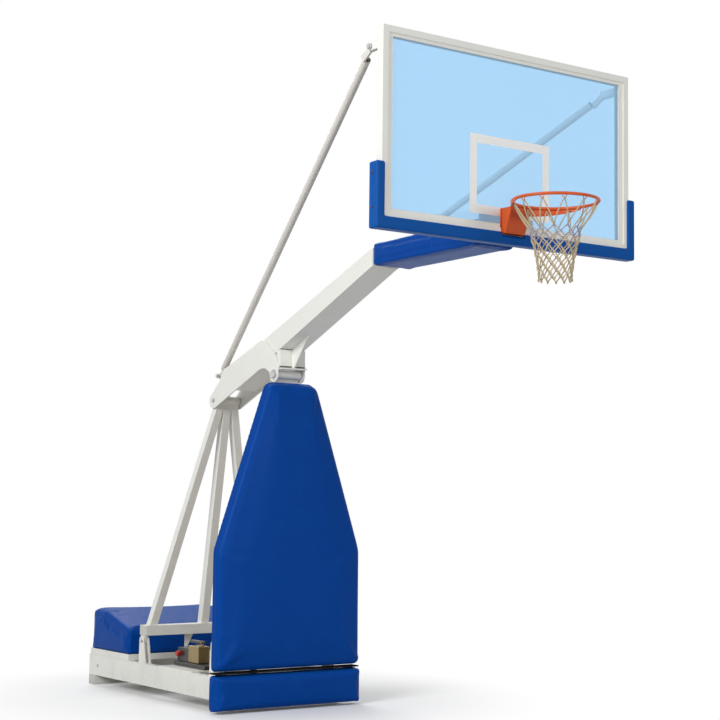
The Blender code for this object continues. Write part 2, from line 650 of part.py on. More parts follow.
def mast():
    """Two posts that lean together, their foot tube, cross rails, head and cylinder lugs."""
    front_limit = PAD_REAR + PAD_BOARD + 3 * GAP
    head_top = ARM_PIVOT[1] - HEAD_TUBE - GAP
    post_top = head_top - HEAD_BLOCK - GAP
    top_y = front_limit + POST_DEPTH / 2 + 0.002
    foot_z = MAST_FOOT[1] + SHAFT + BUSH_WALL + GAP
    pieces = []
    for side in (-1, 1):
        foot = (side * POST_FOOT_X, along_mast(foot_z, top_y, post_top), foot_z)
        head = (side * POST_HEAD_X, top_y, post_top)
        post = leaning_tube("mast_post_" + side_name(side), WHITE, foot, head, (POST_WIDTH, POST_DEPTH), 0.004)
        pieces.append(post)
        low = STANDOFF_Z
        post_front = along_mast(low + CROSS_RAIL / 2, top_y, post_top) - POST_DEPTH / 2
        join(post, box("pad_standoff", WHITE, span(side, *STANDOFF_X), (front_limit, post_front + WELD + 0.001),
                       (low, low + CROSS_RAIL)))
    pieces.append(cross_rod("mast_foot_tube", WHITE, FOOT_TUBE_HALF, MAST_FOOT, SHAFT + BUSH_WALL,
                            wall=BUSH_WALL - AXLE_PLAY))
    head_box = open_box("mast_head", WHITE, (-HEAD_HALF, HEAD_HALF), (front_limit, front_limit + 0.066),
                        (post_top + GAP, head_top + 2 * WELD), 0.005, X_ENDS)
    pieces.append(join(head_box, cross_rod("mast_head_tube", WHITE, HEAD_HALF + 0.001, ARM_PIVOT, HEAD_TUBE,
                                           wall=HEAD_TUBE - ARM_SHAFT - AXLE_PLAY)))
    rails = []
    for name, low in (("mast_lower_rail", LOWER_RAIL_Z), ("mast_upper_rail", UPPER_RAIL_Z)):
        high = low + CROSS_RAIL
        middle_y = along_mast((low + high) / 2, top_y, post_top)
        share = (low - foot_z) / (post_top - foot_z)
        share_high = (high - foot_z) / (post_top - foot_z)
        reach = POST_FOOT_X + (POST_HEAD_X - POST_FOOT_X) * share - POST_WIDTH / 2 - 2 * GAP
        reach_high = POST_FOOT_X + (POST_HEAD_X - POST_FOOT_X) * share_high - POST_WIDTH / 2 - 2 * GAP
        outline = [(-reach, low), (reach, low), (reach_high, high), (-reach_high, high)]
        front, back = middle_y - CROSS_RAIL_DEPTH / 2, middle_y + CROSS_RAIL_DEPTH / 2
        rail = plate(name, WHITE, "XZ", [outline], front, back)
        cut(rail, box(name + "_bore", WHITE, (-CUT_REACH, CUT_REACH), (front + CROSS_WALL, back - CROSS_WALL),
                      (low + CROSS_WALL, high - CROSS_WALL), CUTTERS))
        rails.append(rail)
    low = LOWER_RAIL_Z + WELD
    rail_y = along_mast(low + CROSS_RAIL / 2, top_y, post_top)
    eye_y = CYLINDER_HEAD[0]
    outline = [(rail_y - 0.02, low), *arc(CYLINDER_HEAD, 0.02, 215, 370), (eye_y + 0.019, low)]
    for side in (-1, 1):
        join(rails[0], plate("cylinder_lug", WHITE, "YZ", [outline], *span(side, *CLEVIS_SIDES)))
    join(rails[0], cross_rod("cylinder_head_pin", STEEL, CLEVIS_PIN_HALF, CYLINDER_HEAD, CYLINDER_PIN))
    return pieces + rails


CYLINDER_PIN = 0.010
CLEVIS_EYE = 0.022
BARREL_NECK = 0.018
BARREL_EYE_HALF = 0.024
ROD_EYE_PLAY = 0.0150
ROD_EYE_WALL = 0.007
BARREL = 0.034
BARREL_BORE = 0.0195
BARREL_LENGTH = 0.44
RAM = 0.0185
RAM_INSIDE = 0.19


def lift_cylinder(member):
    """The barrel on its clevis on a cross member, and the ram up to the mast."""
    foot = Vector((0, *CYLINDER_FOOT))
    head = Vector((0, *CYLINDER_HEAD))
    along = (head - foot).normalized()
    base_top = MIDDLE_MEMBER_TOP - WELD
    y = CYLINDER_FOOT[0]
    outline = [(y - 0.028, base_top), (y + 0.028, base_top)] + arc(CYLINDER_FOOT, CLEVIS_EYE, 0, 180)
    for side in (-1, 1):
        join(member, plate("cylinder_clevis", WHITE, "YZ", [outline], *span(side, *CLEVIS_SIDES)))
    join(member, cross_rod("cylinder_foot_pin", STEEL, CLEVIS_PIN_HALF, CYLINDER_FOOT, CYLINDER_PIN))
    barrel = rod("cylinder_barrel", BLACK, foot + along * BARREL, foot + along * BARREL_LENGTH, BARREL)
    join(barrel, cross_rod("barrel_eye", BLACK, BARREL_EYE_HALF, CYLINDER_FOOT, CLEVIS_EYE))
    join(barrel, rod("barrel_neck", BLACK, foot + along * 0.016, foot + along * 0.04, BARREL_NECK))
    bore = rod("barrel_bore", BLACK, foot + along * 0.06, head, BARREL_BORE, CUTTERS)
    cut(barrel, bore)
    cut(barrel, cross_rod("barrel_eye_bore", BLACK, 0.05, CYLINDER_FOOT, CYLINDER_PIN + AXLE_PLAY, CUTTERS))
    eye_inner = CYLINDER_PIN + ROD_EYE_PLAY
    start = foot + along * (BARREL_LENGTH - RAM_INSIDE)
    end = head - along * (eye_inner + ROD_EYE_WALL / 2)
    ram = rod("cylinder_ram", STEEL, start, end, RAM)
    join(ram, cross_rod("ram_eye", STEEL, 0.02, CYLINDER_HEAD, eye_inner + ROD_EYE_WALL))
    cut(ram, cross_rod("ram_eye_bore", STEEL, 0.03, CYLINDER_HEAD, eye_inner, CUTTERS))
    return barrel, ram


ARM_HALF = 0.10
ARM_REAR = 1.05
ARM_UNDERSIDE = (2.149, 2.847)
ARM_TOP = (2.324, 2.961)
ARM_PIN_END = 0.012
BEAM_WALL = 0.005
SIDE_PLATE_OUTER = 0.110
ARM_PIN = 0.012
NOSE_HALF = 0.06
NOSE_LOW = 2.87
NOSE_HIGH = 2.95
NOSE_REAR = -0.60
ARM_PAD_HALF = 0.15
ARM_PAD_REAR = -0.665
ARM_PAD_FRONT = -1.675
ARM_PAD_LOW = (NOSE_LOW - 0.025, NOSE_LOW - 0.034)
ARM_PAD_HIGH = (NOSE_HIGH + 0.05, NOSE_HIGH + 0.03)
ARM_PAD_ROUNDING = 0.014
# Outline of the arm's side plates, as (y, z), from the photo
PIVOT_EYE = 0.052
TAIL_EYE = 0.0575
PLATE_ARCH = (0.655, 2.13)
PLATE_ARCH_RADIUS = 0.15
PLATE_TAIL_TOP = ((1.239, 2.216), (1.179, 2.303), (1.077, 2.335), (0.705, 2.465))
PLATE_SHOULDER = (0.66, 2.365)
PLATE_SHOULDER_RADIUS = 0.108
PLATE_NECK = ((0.503, 2.373), (0.449, 2.275))
HINGE_TUBE = 0.022
HINGE_PIN = 0.012


def side_block(name, mat, outline, half, group=PARTS):
    """A block across the middle plane from its side outline."""
    return plate(name, mat, "YZ", [outline], -half, half, group)


def arm():
    """The box beam, its side plates, web, nose, pad, shaft and pin."""
    edges = (ARM_UNDERSIDE, ARM_TOP)
    slopes = [(edge[0] - edge[1]) / (ARM_REAR - NOSE_REAR) for edge in edges]

    def on_edge(edge, y, inward=0.0):
        """A point on the beam's underside (0) or top (1), moved inwards by a wall."""
        start = edges[edge][1]
        return (y, start + slopes[edge] * (y - NOSE_REAR) + inward * (1 - 2 * edge))

    outer = [on_edge(0, NOSE_REAR), on_edge(0, ARM_REAR), on_edge(1, ARM_REAR), on_edge(1, NOSE_REAR)]
    beyond = 0.05
    inner = [on_edge(0, NOSE_REAR - beyond, BEAM_WALL), on_edge(0, ARM_REAR + beyond, BEAM_WALL),
             on_edge(1, ARM_REAR + beyond, BEAM_WALL), on_edge(1, NOSE_REAR - beyond, BEAM_WALL)]
    beam = cut(side_block("arm_beam", WHITE, outer, ARM_HALF),
               side_block("beam_bore", WHITE, inner, ARM_HALF - BEAM_WALL, CUTTERS))
    pieces = [beam]
    pivot_y, pivot_z = ARM_PIVOT
    outline = arc(ARM_PIVOT, PIVOT_EYE, 160, 320, 10) + arc(PLATE_ARCH, PLATE_ARCH_RADIUS, 122, 62, 6)
    outline += arc(STRUT_HEAD, TAIL_EYE, 242, 385, 10) + list(PLATE_TAIL_TOP)
    outline += arc(PLATE_SHOULDER, PLATE_SHOULDER_RADIUS, 75, 150, 5) + list(PLATE_NECK)
    holes = [circle(ARM_PIVOT, ARM_SHAFT + AXLE_PLAY), circle(STRUT_HEAD, ARM_PIN + AXLE_PLAY)]
    for side in (-1, 1):
        pieces.append(plate("arm_side_plate_" + side_name(side), WHITE, "YZ", [outline, *holes],
                            *span(side, ARM_HALF + GAP, SIDE_PLATE_OUTER)))
    bar_low = pivot_z + HEAD_TUBE + 0.0035
    bar_high = bar_low + 0.010
    bar = box("arm_cross_bar", WHITE, (-ARM_HALF + GAP, ARM_HALF - GAP), (pivot_y - 0.09, pivot_y + 0.11),
              (bar_low, bar_high))
    web = [(pivot_y - 0.088, bar_high - WELD), (pivot_y + 0.10, bar_high - WELD),
           on_edge(0, pivot_y + 0.10, WELD), on_edge(0, pivot_y - 0.26, WELD)]
    join(beam, plate("arm_web", WHITE, "YZ", [web], -0.005, 0.005))
    join(beam, bar)
    pieces.append(cross_rod("arm_pivot_shaft", STEEL, SIDE_PLATE_OUTER + ARM_PIN_END, ARM_PIVOT, ARM_SHAFT))
    pieces.append(cross_rod("arm_tail_pin", STEEL, SIDE_PLATE_OUTER + ARM_PIN_END, STRUT_HEAD, ARM_PIN))
    nose_front = BOARD_PIVOT[0] + HINGE_TUBE + GAP
    nose = open_box("arm_nose", WHITE, (-NOSE_HALF, NOSE_HALF), (nose_front, NOSE_REAR - 0.010 + WELD),
                    (NOSE_LOW, NOSE_HIGH), 0.004, ((0, 1, 0),))
    flange = box("arm_nose_flange", WHITE, (-ARM_HALF, ARM_HALF), (NOSE_REAR - 0.010, NOSE_REAR - GAP),
                 (ARM_UNDERSIDE[1], ARM_TOP[1]))
    cut(flange, box("flange_window", WHITE, (-NOSE_HALF + 0.01, NOSE_HALF - 0.01),
                    (NOSE_REAR - CUT_REACH, NOSE_REAR + CUT_REACH), (NOSE_LOW + 0.01, NOSE_HIGH - 0.01), CUTTERS))
    join(nose, flange)
    join(nose, box("eye_block", WHITE, (-NOSE_HALF + 0.015, NOSE_HALF - 0.015), (nose_front - 0.006, nose_front + WELD),
                   (BOARD_PIVOT[1] - 0.018, BOARD_PIVOT[1] + 0.018)))
    join(nose, cross_rod("board_hinge_eye", WHITE, NOSE_HALF - 0.01, BOARD_PIVOT, HINGE_TUBE,
                         wall=HINGE_TUBE - HINGE_PIN - AXLE_PLAY))
    cut(nose, cross_rod("hinge_eye_bore", WHITE, 0.1, BOARD_PIVOT, HINGE_PIN + AXLE_PLAY, CUTTERS))
    pieces.append(nose)
    shape = [(ARM_PAD_FRONT, ARM_PAD_LOW[0]), (ARM_PAD_REAR, ARM_PAD_LOW[1]), (ARM_PAD_REAR, ARM_PAD_HIGH[1]),
             (ARM_PAD_FRONT, ARM_PAD_HIGH[0])]
    pad = bevel(side_block("arm_pad", BLUE, shape, ARM_PAD_HALF), ARM_PAD_ROUNDING, 3)
    cut(pad, box("arm_pad_bore", BLUE, (-NOSE_HALF - GAP, NOSE_HALF + GAP), (ARM_PAD_FRONT - CUT_REACH, 0),
                 (NOSE_LOW - GAP, NOSE_HIGH + GAP), CUTTERS))
    pieces.append(pad)
    return pieces


STRUT = 0.06
STRUT_SPREAD = BASE_HALF - 0.0731
STRUT_WALL = 0.0035
STRUT_HEAD_X = 0.0606
STRUT_LEAN = (0.0068, 0.0139)
CROSSBAR = (0.059, 0.041)
LUG_EYE = 0.028
HEAD_BOX = (0.017, 0.045)
HEAD_BOX_HEIGHT = 0.024
STOP_PLATE = (-0.15, -0.08, 0.29)
EAR_FOOT = 0.03
CROSSBAR_LOW = 0.417
CROSSBAR_HIGH = 0.487
HEAD_BOX_HALF = 0.0905
HEAD_BORE = 0.0245
HEAD_BORE_WALL = 0.0095
EAR_HOLE = 0.0265
EAR_RIM = 0.012
EAR_HALF = 0.010


def strut_frame():
    """Three struts from a crossbar to a head that holds the arm's tail and the rods' ear."""
    foot_y = STRUT_FOOT[0]
    tail_y, tail_z = STRUT_HEAD
    tube_low = tail_z - HEAD_BORE - HEAD_BORE_WALL
    box_low = tube_low - GAP - HEAD_BOX_HEIGHT
    pieces = []
    for name, share in (("strut_left", -1), ("strut_middle", 0), ("strut_right", 1)):
        pieces.append(leaning_tube(name, WHITE, (share * STRUT_SPREAD, foot_y - STRUT_LEAN[0], CROSSBAR_HIGH + GAP),
                                   (share * STRUT_HEAD_X, tail_y + STRUT_LEAN[1], box_low - GAP),
                                   (STRUT, STRUT), STRUT_WALL))
    crossbar = open_box("strut_crossbar", WHITE, (-LUG_OUTER - 0.001, LUG_OUTER + 0.001),
                        (foot_y - CROSSBAR[0], foot_y + CROSSBAR[1]), (CROSSBAR_LOW, CROSSBAR_HIGH), CROSS_WALL,
                        X_ENDS)
    lug = [(foot_y + LUG_EYE + WELD, CROSSBAR_LOW + WELD), (foot_y - LUG_EYE - WELD, CROSSBAR_LOW + WELD)]
    lug += arc(STRUT_FOOT, LUG_EYE, 180, 360, 10)
    for side in (-1, 1):
        join(crossbar, plate("strut_lug", WHITE, "YZ", [lug, circle(STRUT_FOOT, STRUT_PIN + AXLE_PLAY)],
                             *span(side, LUG_INNER, LUG_OUTER)))
    left, right, low = STOP_PLATE
    stop = [(left, CROSSBAR_LOW + WELD), (right, CROSSBAR_LOW + WELD), (left + CROSS_WALL, low), (left, low)]
    join(crossbar, plate("strut_stop_plate", WHITE, "XZ", [stop], foot_y - 0.013, foot_y - 0.005))
    pieces.append(crossbar)
    head = box("strut_head", WHITE, (-HEAD_BOX_HALF, HEAD_BOX_HALF), (tail_y - HEAD_BOX[0], tail_y + HEAD_BOX[1]),
               (box_low, tube_low + 2 * WELD))
    join(head, cross_rod("strut_head_tube", WHITE, HEAD_HALF, STRUT_HEAD, HEAD_BORE + HEAD_BORE_WALL,
                         wall=HEAD_BORE_WALL))
    pieces.append(head)
    ear_low = tail_z + HEAD_BORE + HEAD_BORE_WALL - 2 * WELD
    ear = [(tail_y - EAR_FOOT, ear_low), (tail_y + EAR_FOOT, ear_low)]
    ear += arc(ROD_FOOT, EAR_HOLE + EAR_RIM, -10, 190, 14)
    join(head, plate("strut_head_ear", WHITE, "YZ", [ear, circle(ROD_FOOT, EAR_HOLE)], -EAR_HALF, EAR_HALF))
    return pieces


ROD_TOP_X = BOARD_HALF - 0.047
ROD_FOOT_X = 0.035
ROD_TUBE = 0.023
ROD_EYE = 0.020
ROD_PIN = 0.008
TONGUE = 0.10
ROD_WALL = 0.003
FOOT_EYE_THICK = 0.007
TOP_EYE_THICK = 0.006


def tie_rods():
    """Two round rods that spread from the strut head's ear to the board's upper corners."""
    pieces = []
    for side in (-1, 1):
        foot = Vector((side * ROD_FOOT_X, *ROD_FOOT))
        top = Vector((side * ROD_TOP_X, *ROD_TOP))
        along = (top - foot).normalized()
        bar = rod("tie_rod_" + side_name(side), WHITE, foot + along * TONGUE, top - along * TONGUE, ROD_TUBE,
                  wall=ROD_WALL)
        pieces.append(bar)
        lean = math.degrees(math.atan2(along.z, along.y))
        flat = math.hypot(along.y, along.z)
        for name, pivot, x, turn, thick in (("foot", ROD_FOOT, ROD_FOOT_X, lean, FOOT_EYE_THICK),
                                            ("top", ROD_TOP, ROD_TOP_X, lean + 180, TOP_EYE_THICK)):
            heading = math.radians(turn)
            reach = (TONGUE + 3 * WELD) * flat
            tip = Vector((math.cos(heading), math.sin(heading))) * reach
            wide = Vector((-math.sin(heading), math.cos(heading))) * (ROD_TUBE - 0.001)
            start = Vector(pivot)
            outline = [tuple(start + tip - wide), tuple(start + tip + wide)]
            outline += arc(pivot, ROD_EYE, turn + 60, turn + 300, 14)
            join(bar, plate("tie_rod_%s_eye" % name, WHITE, "YZ", [outline, circle(pivot, ROD_PIN + AXLE_PLAY, 16)],
                            *span(side, x - thick, x + thick)))
    pieces.append(cross_rod("tie_rod_foot_bolt", STEEL, 0.060, ROD_FOOT, ROD_PIN))
    return pieces


BOARD_REAR = BOARD_FRONT + BOARD_DEPTH
FRAME_STEP = 0.008
BEAD_RECESS = 0.003
CARRIER_Z = (2.88, 3.035)
CARRIER_LUG = 0.045
CARRIER_EYE = 0.021
CARRIER_LUG_WALL = 0.010
CARRIER_HALF = 0.20
CARRIER_THICK = 0.008
BOLT = 0.006
BOLT_X = 0.050
BOLT_Z = (2.985, 3.010)


def board():
    """The framed glass with its carrier, hinge pin, rod lugs and U-shaped edge pad."""
    glass_rear = GLASS_FRONT + GLASS_THICKNESS
    glass_x = BOARD_HALF - GLASS_SIDE
    glass_low = BOARD_BOTTOM + GLASS_SIDE - 0.015
    glass_high = BOARD_TOP - GLASS_SIDE + 0.020
    seen_x = BOARD_HALF - LIP_FACE
    seen_low = BOARD_BOTTOM + 0.060
    seen_high = BOARD_TOP - 0.056
    frame = box("board_frame", WHITE, (-BOARD_HALF, BOARD_HALF), (BOARD_FRONT, BOARD_REAR),
                (BOARD_BOTTOM, BOARD_TOP))
    cut(frame, box("frame_window", WHITE, (-seen_x, seen_x), (BOARD_FRONT - CUT_REACH, BOARD_REAR + CUT_REACH),
                   (seen_low, seen_high), CUTTERS))
    cut(frame, box("frame_step", WHITE, (-BOARD_HALF + FRAME_FACE, BOARD_HALF - FRAME_FACE),
                   (BOARD_FRONT - CUT_REACH, BOARD_FRONT + FRAME_STEP),
                   (BOARD_BOTTOM + FRAME_FACE, BOARD_TOP - FRAME_FACE), CUTTERS))
    cut(frame, box("frame_pocket", WHITE, (-glass_x - GAP, glass_x + GAP),
                   (GLASS_FRONT - GAP, BOARD_REAR + CUT_REACH), (glass_low - GAP, glass_high + GAP), CUTTERS))
    cut(frame, box("frame_notch", WHITE, (-RIM_HALF - 0.010, RIM_HALF + 0.010),
                   (BOARD_FRONT - CUT_REACH, GLASS_FRONT), (BOARD_BOTTOM - CUT_REACH, seen_low + 0.01), CUTTERS))
    glass = box("board_glass", GLASS, (-glass_x, glass_x), (GLASS_FRONT, glass_rear), (glass_low, glass_high))
    bead = box("glazing_bead", GREY, (-glass_x, glass_x), (glass_rear + GAP, BOARD_REAR - BEAD_RECESS),
               (glass_low, glass_high))
    cut(bead, box("bead_window", GREY, (-seen_x, seen_x), (GLASS_FRONT, BOARD_REAR + CUT_REACH),
                  (seen_low, seen_high), CUTTERS))
    pivot_z = BOARD_PIVOT[1]
    plate_front = BOARD_REAR + GAP
    carrier = box("board_carrier", WHITE, (-CARRIER_HALF, CARRIER_HALF), (plate_front, plate_front + CARRIER_THICK),
                  CARRIER_Z)
    lug = [(plate_front + 0.004, pivot_z - CARRIER_LUG), *arc(BOARD_PIVOT, CARRIER_EYE, 270, 450, 10),
           (plate_front + 0.004, pivot_z + CARRIER_LUG)]
    for side in (-1, 1):
        near = NOSE_HALF - 0.01 + 0.0005
        join(carrier, plate("carrier_lug", WHITE, "YZ", [lug], *span(side, near, near + CARRIER_LUG_WALL)))
    join(carrier, cross_rod("board_hinge_pin", STEEL, 0.068, BOARD_PIVOT, HINGE_PIN))
    join(carrier, box("rim_spacer", WHITE, (-BOLT_X - 0.02, BOLT_X + 0.02), (glass_rear + GAP, plate_front + WELD),
                      (seen_low + WELD, CARRIER_Z[1] - WELD)))
    pieces = [frame, glass, bead, carrier]
    for index, (x, z) in enumerate((x, z) for x in (-BOLT_X, BOLT_X) for z in BOLT_Z):
        for target, name in ((glass, "glass"), (carrier, "carrier")):
            cut(target, rod("%s_bolt_hole_%d" % (name, index), STEEL, (x, BOARD_FRONT - CUT_REACH, z),
                            (x, BOARD_REAR + CUT_REACH, z), BOLT + 0.001, CUTTERS, 12))
    for side in (-1, 1):
        x = side * ROD_TOP_X
        rear = ROD_TOP[0] + 0.018
        near, far = 0.0075, 0.0165
        shape = [(x - far, BOARD_REAR - WELD), (x + far, BOARD_REAR - WELD), (x + far, rear), (x + near, rear),
                 (x + near, BOARD_REAR + 0.012), (x - near, BOARD_REAR + 0.012), (x - near, rear), (x - far, rear)]
        join(frame, plate("rod_lug", WHITE, "XY", [shape], ROD_TOP[1] - 0.022, ROD_TOP[1] + 0.022))
        join(frame, cross_rod("rod_pin", STEEL, 0.022, ROD_TOP, ROD_PIN, middle=x))
    pieces.append(board_pad())
    return pieces


BOARD_PAD_SIDE = 0.042
BOARD_PAD_LAP = 0.016
BOARD_PAD_FRONT = BOARD_FRONT - 0.013
BOARD_PAD_REAR = BOARD_REAR + 0.010
BOARD_PAD_OUTER = BOARD_HALF + BOARD_PAD_SIDE
BOARD_PAD_LIP = BOARD_HALF - BOARD_PAD_LAP
BOARD_PAD_BOTTOM = BOARD_BOTTOM - 0.055
BOARD_PAD_INNER = BOARD_BOTTOM + 0.015
BOARD_PAD_TOP = BOARD_BOTTOM + 0.310
BOARD_PAD_ROUNDING = 0.010
REAR_NOTCH_LOW = BOARD_BOTTOM - 0.025
FRONT_NOTCH_LOW = BOARD_BOTTOM - 0.013


def board_pad():
    """A soft channel round the board's bottom edge and lower corners."""
    outline = [(-BOARD_PAD_OUTER, BOARD_PAD_BOTTOM), (BOARD_PAD_OUTER, BOARD_PAD_BOTTOM),
               (BOARD_PAD_OUTER, BOARD_PAD_TOP), (BOARD_PAD_LIP, BOARD_PAD_TOP), (BOARD_PAD_LIP, BOARD_PAD_INNER),
               (-BOARD_PAD_LIP, BOARD_PAD_INNER), (-BOARD_PAD_LIP, BOARD_PAD_TOP),
               (-BOARD_PAD_OUTER, BOARD_PAD_TOP)]
    pad = plate("board_pad", BLUE, "XZ", [outline], BOARD_PAD_FRONT, BOARD_PAD_REAR)
    bevel(pad, BOARD_PAD_ROUNDING, 3)
    cut(pad, box("pad_channel", BLUE, (-BOARD_HALF - GAP, BOARD_HALF + GAP), (BOARD_FRONT - GAP, BOARD_REAR + GAP),
                 (BOARD_BOTTOM - GAP, BOARD_TOP), CUTTERS))
    cut(pad, box("pad_rear_notch", BLUE, (-CARRIER_HALF - 0.005, CARRIER_HALF + 0.005),
                 (BOARD_REAR, BOARD_REAR + CUT_REACH),
                 (REAR_NOTCH_LOW, BOARD_TOP), CUTTERS))
    cut(pad, box("pad_front_notch", BLUE, (-RIM_HALF - 0.012, RIM_HALF + 0.012),
                 (BOARD_FRONT - CUT_REACH, BOARD_FRONT),
                 (FRONT_NOTCH_LOW, BOARD_TOP), CUTTERS))
    return pad


RIM_BACK = 0.008
RIM_LOW = RING_TOP - 0.15
RIM_HIGH = RING_TOP - 0.005
RIM_REACH_TOP = 0.10
RIM_REACH_LOW = 0.045
RIM_PIVOT = (GLASS_FRONT - 0.022, RIM_LOW + 0.012)
RIM_PIN = 0.004
RIM_SHEET = 0.004
HEEL_CHAMFER = 0.003


def rim_mount():
    """The back plate bolted through the glass, with the tilting rim's pin and spring."""
    front = GLASS_FRONT - GAP
    back = box("rim_back_plate", ORANGE, (-RIM_HALF, RIM_HALF), (front - RIM_BACK, front), (RIM_LOW, RIM_HIGH))
    ear = [(front - 0.002, RIM_LOW), (front - 0.002, RIM_LOW + 0.03), (RIM_PIVOT[0], RIM_PIVOT[1] + 0.010)]
    ear += arc(RIM_PIVOT, 0.010, 90, 270, 8) + [(RIM_PIVOT[0], RIM_PIVOT[1] - 0.010)]
    for side in (-1, 1):
        join(back, plate("rim_ear", ORANGE, "YZ", [ear], *span(side, RIM_HALF - 0.001, RIM_HALF + 0.004)))
    for x, z in ((x, z) for x in (-BOLT_X, BOLT_X) for z in BOLT_Z):
        bolt = rod("rim_bolt", STEEL, (x, front - RIM_BACK + 0.002, z),
                   (x, BOARD_REAR + CARRIER_THICK + 0.012, z), BOLT, sides=12)
        nut = BOARD_REAR + CARRIER_THICK + 2 * GAP
        join(bolt, rod("bolt_nut", STEEL, (x, nut, z), (x, nut + 0.008, z), 0.010, sides=6))
        join(back, bolt)
    join(back, cross_rod("rim_pivot_pin", STEEL, RIM_HALF + 0.008, RIM_PIVOT, RIM_PIN, sides=16))
    join(back, cross_rod("rim_return_spring", STEEL, 0.03, RIM_PIVOT, RIM_PIN + 0.0035, sides=16))
    return [back]


def ring_centre():
    """The middle of the hoop at half its bar's height."""
    return Vector((0, GLASS_FRONT - RING_GAP_TO_GLASS - RING_INNER, RING_TOP - RING_BAR))


def ring_torus(name, mat, centre, major, minor, sides):
    """A closed ring of round bar."""
    bpy.ops.mesh.primitive_torus_add(major_radius=major, minor_radius=minor, major_segments=48,
                                     minor_segments=sides, location=centre)
    obj = bpy.context.object
    for group in list(obj.users_collection):
        group.objects.unlink(obj)
    obj.name = name
    return smooth(finish(obj, mat))


def rim():
    """The housing that tilts down on its pin, with the ring, its flange, brace, hoop and net."""
    front = GLASS_FRONT - GAP - RIM_BACK
    rear = front - 0.0037
    slope = [(rear, RIM_HIGH), (GLASS_FRONT - RIM_REACH_TOP, RIM_HIGH), (GLASS_FRONT - RIM_REACH_LOW, RIM_LOW),
             (rear - HEEL_CHAMFER, RIM_LOW), (rear, RIM_LOW + 2 * HEEL_CHAMFER)]
    half = RIM_HALF - 0.0013
    housing = plate("rim_housing", ORANGE, "YZ", [slope], -half, half)
    inner = [(rear + CUT_REACH, RIM_HIGH - RIM_SHEET), (GLASS_FRONT - RIM_REACH_TOP + 0.006, RIM_HIGH - RIM_SHEET),
             (GLASS_FRONT - RIM_REACH_LOW + RIM_SHEET, RIM_LOW - 0.001),
             (GLASS_FRONT - RIM_REACH_LOW + RIM_SHEET, RIM_LOW - CUT_REACH),
             (rear + CUT_REACH, RIM_LOW - CUT_REACH)]
    hollow = plate("housing_hollow", ORANGE, "YZ", [inner], -half + RIM_SHEET, half - RIM_SHEET, CUTTERS)
    cut(housing, hollow)
    cut(housing, cross_rod("housing_bore", ORANGE, 0.1, RIM_PIVOT, RIM_PIN + 0.0004, CUTTERS, 16))
    centre = ring_centre()
    middle = RING_INNER + RING_BAR
    ring = ring_torus("rim_ring", ORANGE, centre, middle, RING_BAR, 8)
    pieces = [housing, ring]
    flange_rear = GLASS_FRONT - RIM_REACH_TOP + 2 * WELD
    reach = middle + RING_BAR + 0.0005
    spread = math.degrees(math.asin(0.11 / reach))
    flange = [(RIM_HALF - 0.003, flange_rear), (-RIM_HALF + 0.003, flange_rear)]
    flange += arc((0, centre.y), reach, 90 + spread, 90 - spread, 12)
    join(housing, plate("rim_flange", ORANGE, "XY", [flange], RIM_HIGH - 0.008, RIM_HIGH))
    join(ring, rim_brace(centre))
    join(ring, ring_torus("net_hoop", STEEL, centre - Vector((0, 0, HOOP_DROP)), HOOP_RADIUS, HOOP, 5))
    pieces.append(net(centre))
    return pieces


HOOP = 0.003
HOOP_DROP = 0.0085
HOOP_RADIUS = 0.2305
BRACE_RADIUS = 0.2425
BRACE_HEIGHT = 0.046
BRACE_SPREAD = 78


def rim_brace(centre):
    """A curved strap under the ring's rear half that gets lower towards its ends."""
    top = RING_TOP - 2 * RING_BAR + 2 * WELD
    steps = 20
    bm = bmesh.new()
    bmesh.ops.create_grid(bm, x_segments=steps, y_segments=1, size=0.5)
    for vert in bm.verts:
        turn = vert.co.x * 2
        angle = math.radians(90 - turn * BRACE_SPREAD)
        height = BRACE_HEIGHT * (1 - 0.8 * abs(turn) ** 1.5)
        z = top if vert.co.y > 0 else top - height
        vert.co = (BRACE_RADIUS * math.cos(angle), centre.y + BRACE_RADIUS * math.sin(angle), z)
    brace = mesh_object("rim_brace", bm, ORANGE)
    modifier(brace, "SOLIDIFY", thickness=0.005, offset=0.0, use_even_offset=True)
    return brace


NET_ROWS = ((2.890, 0.156), (2.858, 0.150), (2.820, 0.140), (2.782, 0.131), (2.745, 0.123), (2.708, 0.116),
            (2.671, 0.110), (2.634, 0.106), (2.604, 0.105))


def net(centre):
    """A knotted net of diamonds, hung from the hoop by long loops."""
    top = centre.z - HOOP_DROP - HOOP - NET_CORD / 2
    rows = [(top, HOOP_RADIUS), *NET_ROWS]
    bm = bmesh.new()
    nodes = []
    for index, (z, radius) in enumerate(rows):
        shift = 0.5 * (index % 2)
        angles = [2 * math.pi * (i + shift) / NET_COLUMNS for i in range(NET_COLUMNS)]
        nodes.append([bm.verts.new((radius * math.cos(a), centre.y + radius * math.sin(a), z)) for a in angles])
    for index in range(len(rows) - 2):
        for i in range(NET_COLUMNS):
            side = (i - 1, i) if index % 2 == 0 else (i, i + 1)
            left, right = (nodes[index + 1][k % NET_COLUMNS] for k in side)
            bm.faces.new((nodes[index][i], left, nodes[index + 2][i], right))
    bmesh.ops.recalc_face_normals(bm, faces=bm.faces)
    made = mesh_object("net", bm, ROPE)
    modifier(made, "WIREFRAME", thickness=NET_CORD, use_even_offset=False, use_boundary=True, use_replace=True)
    return made


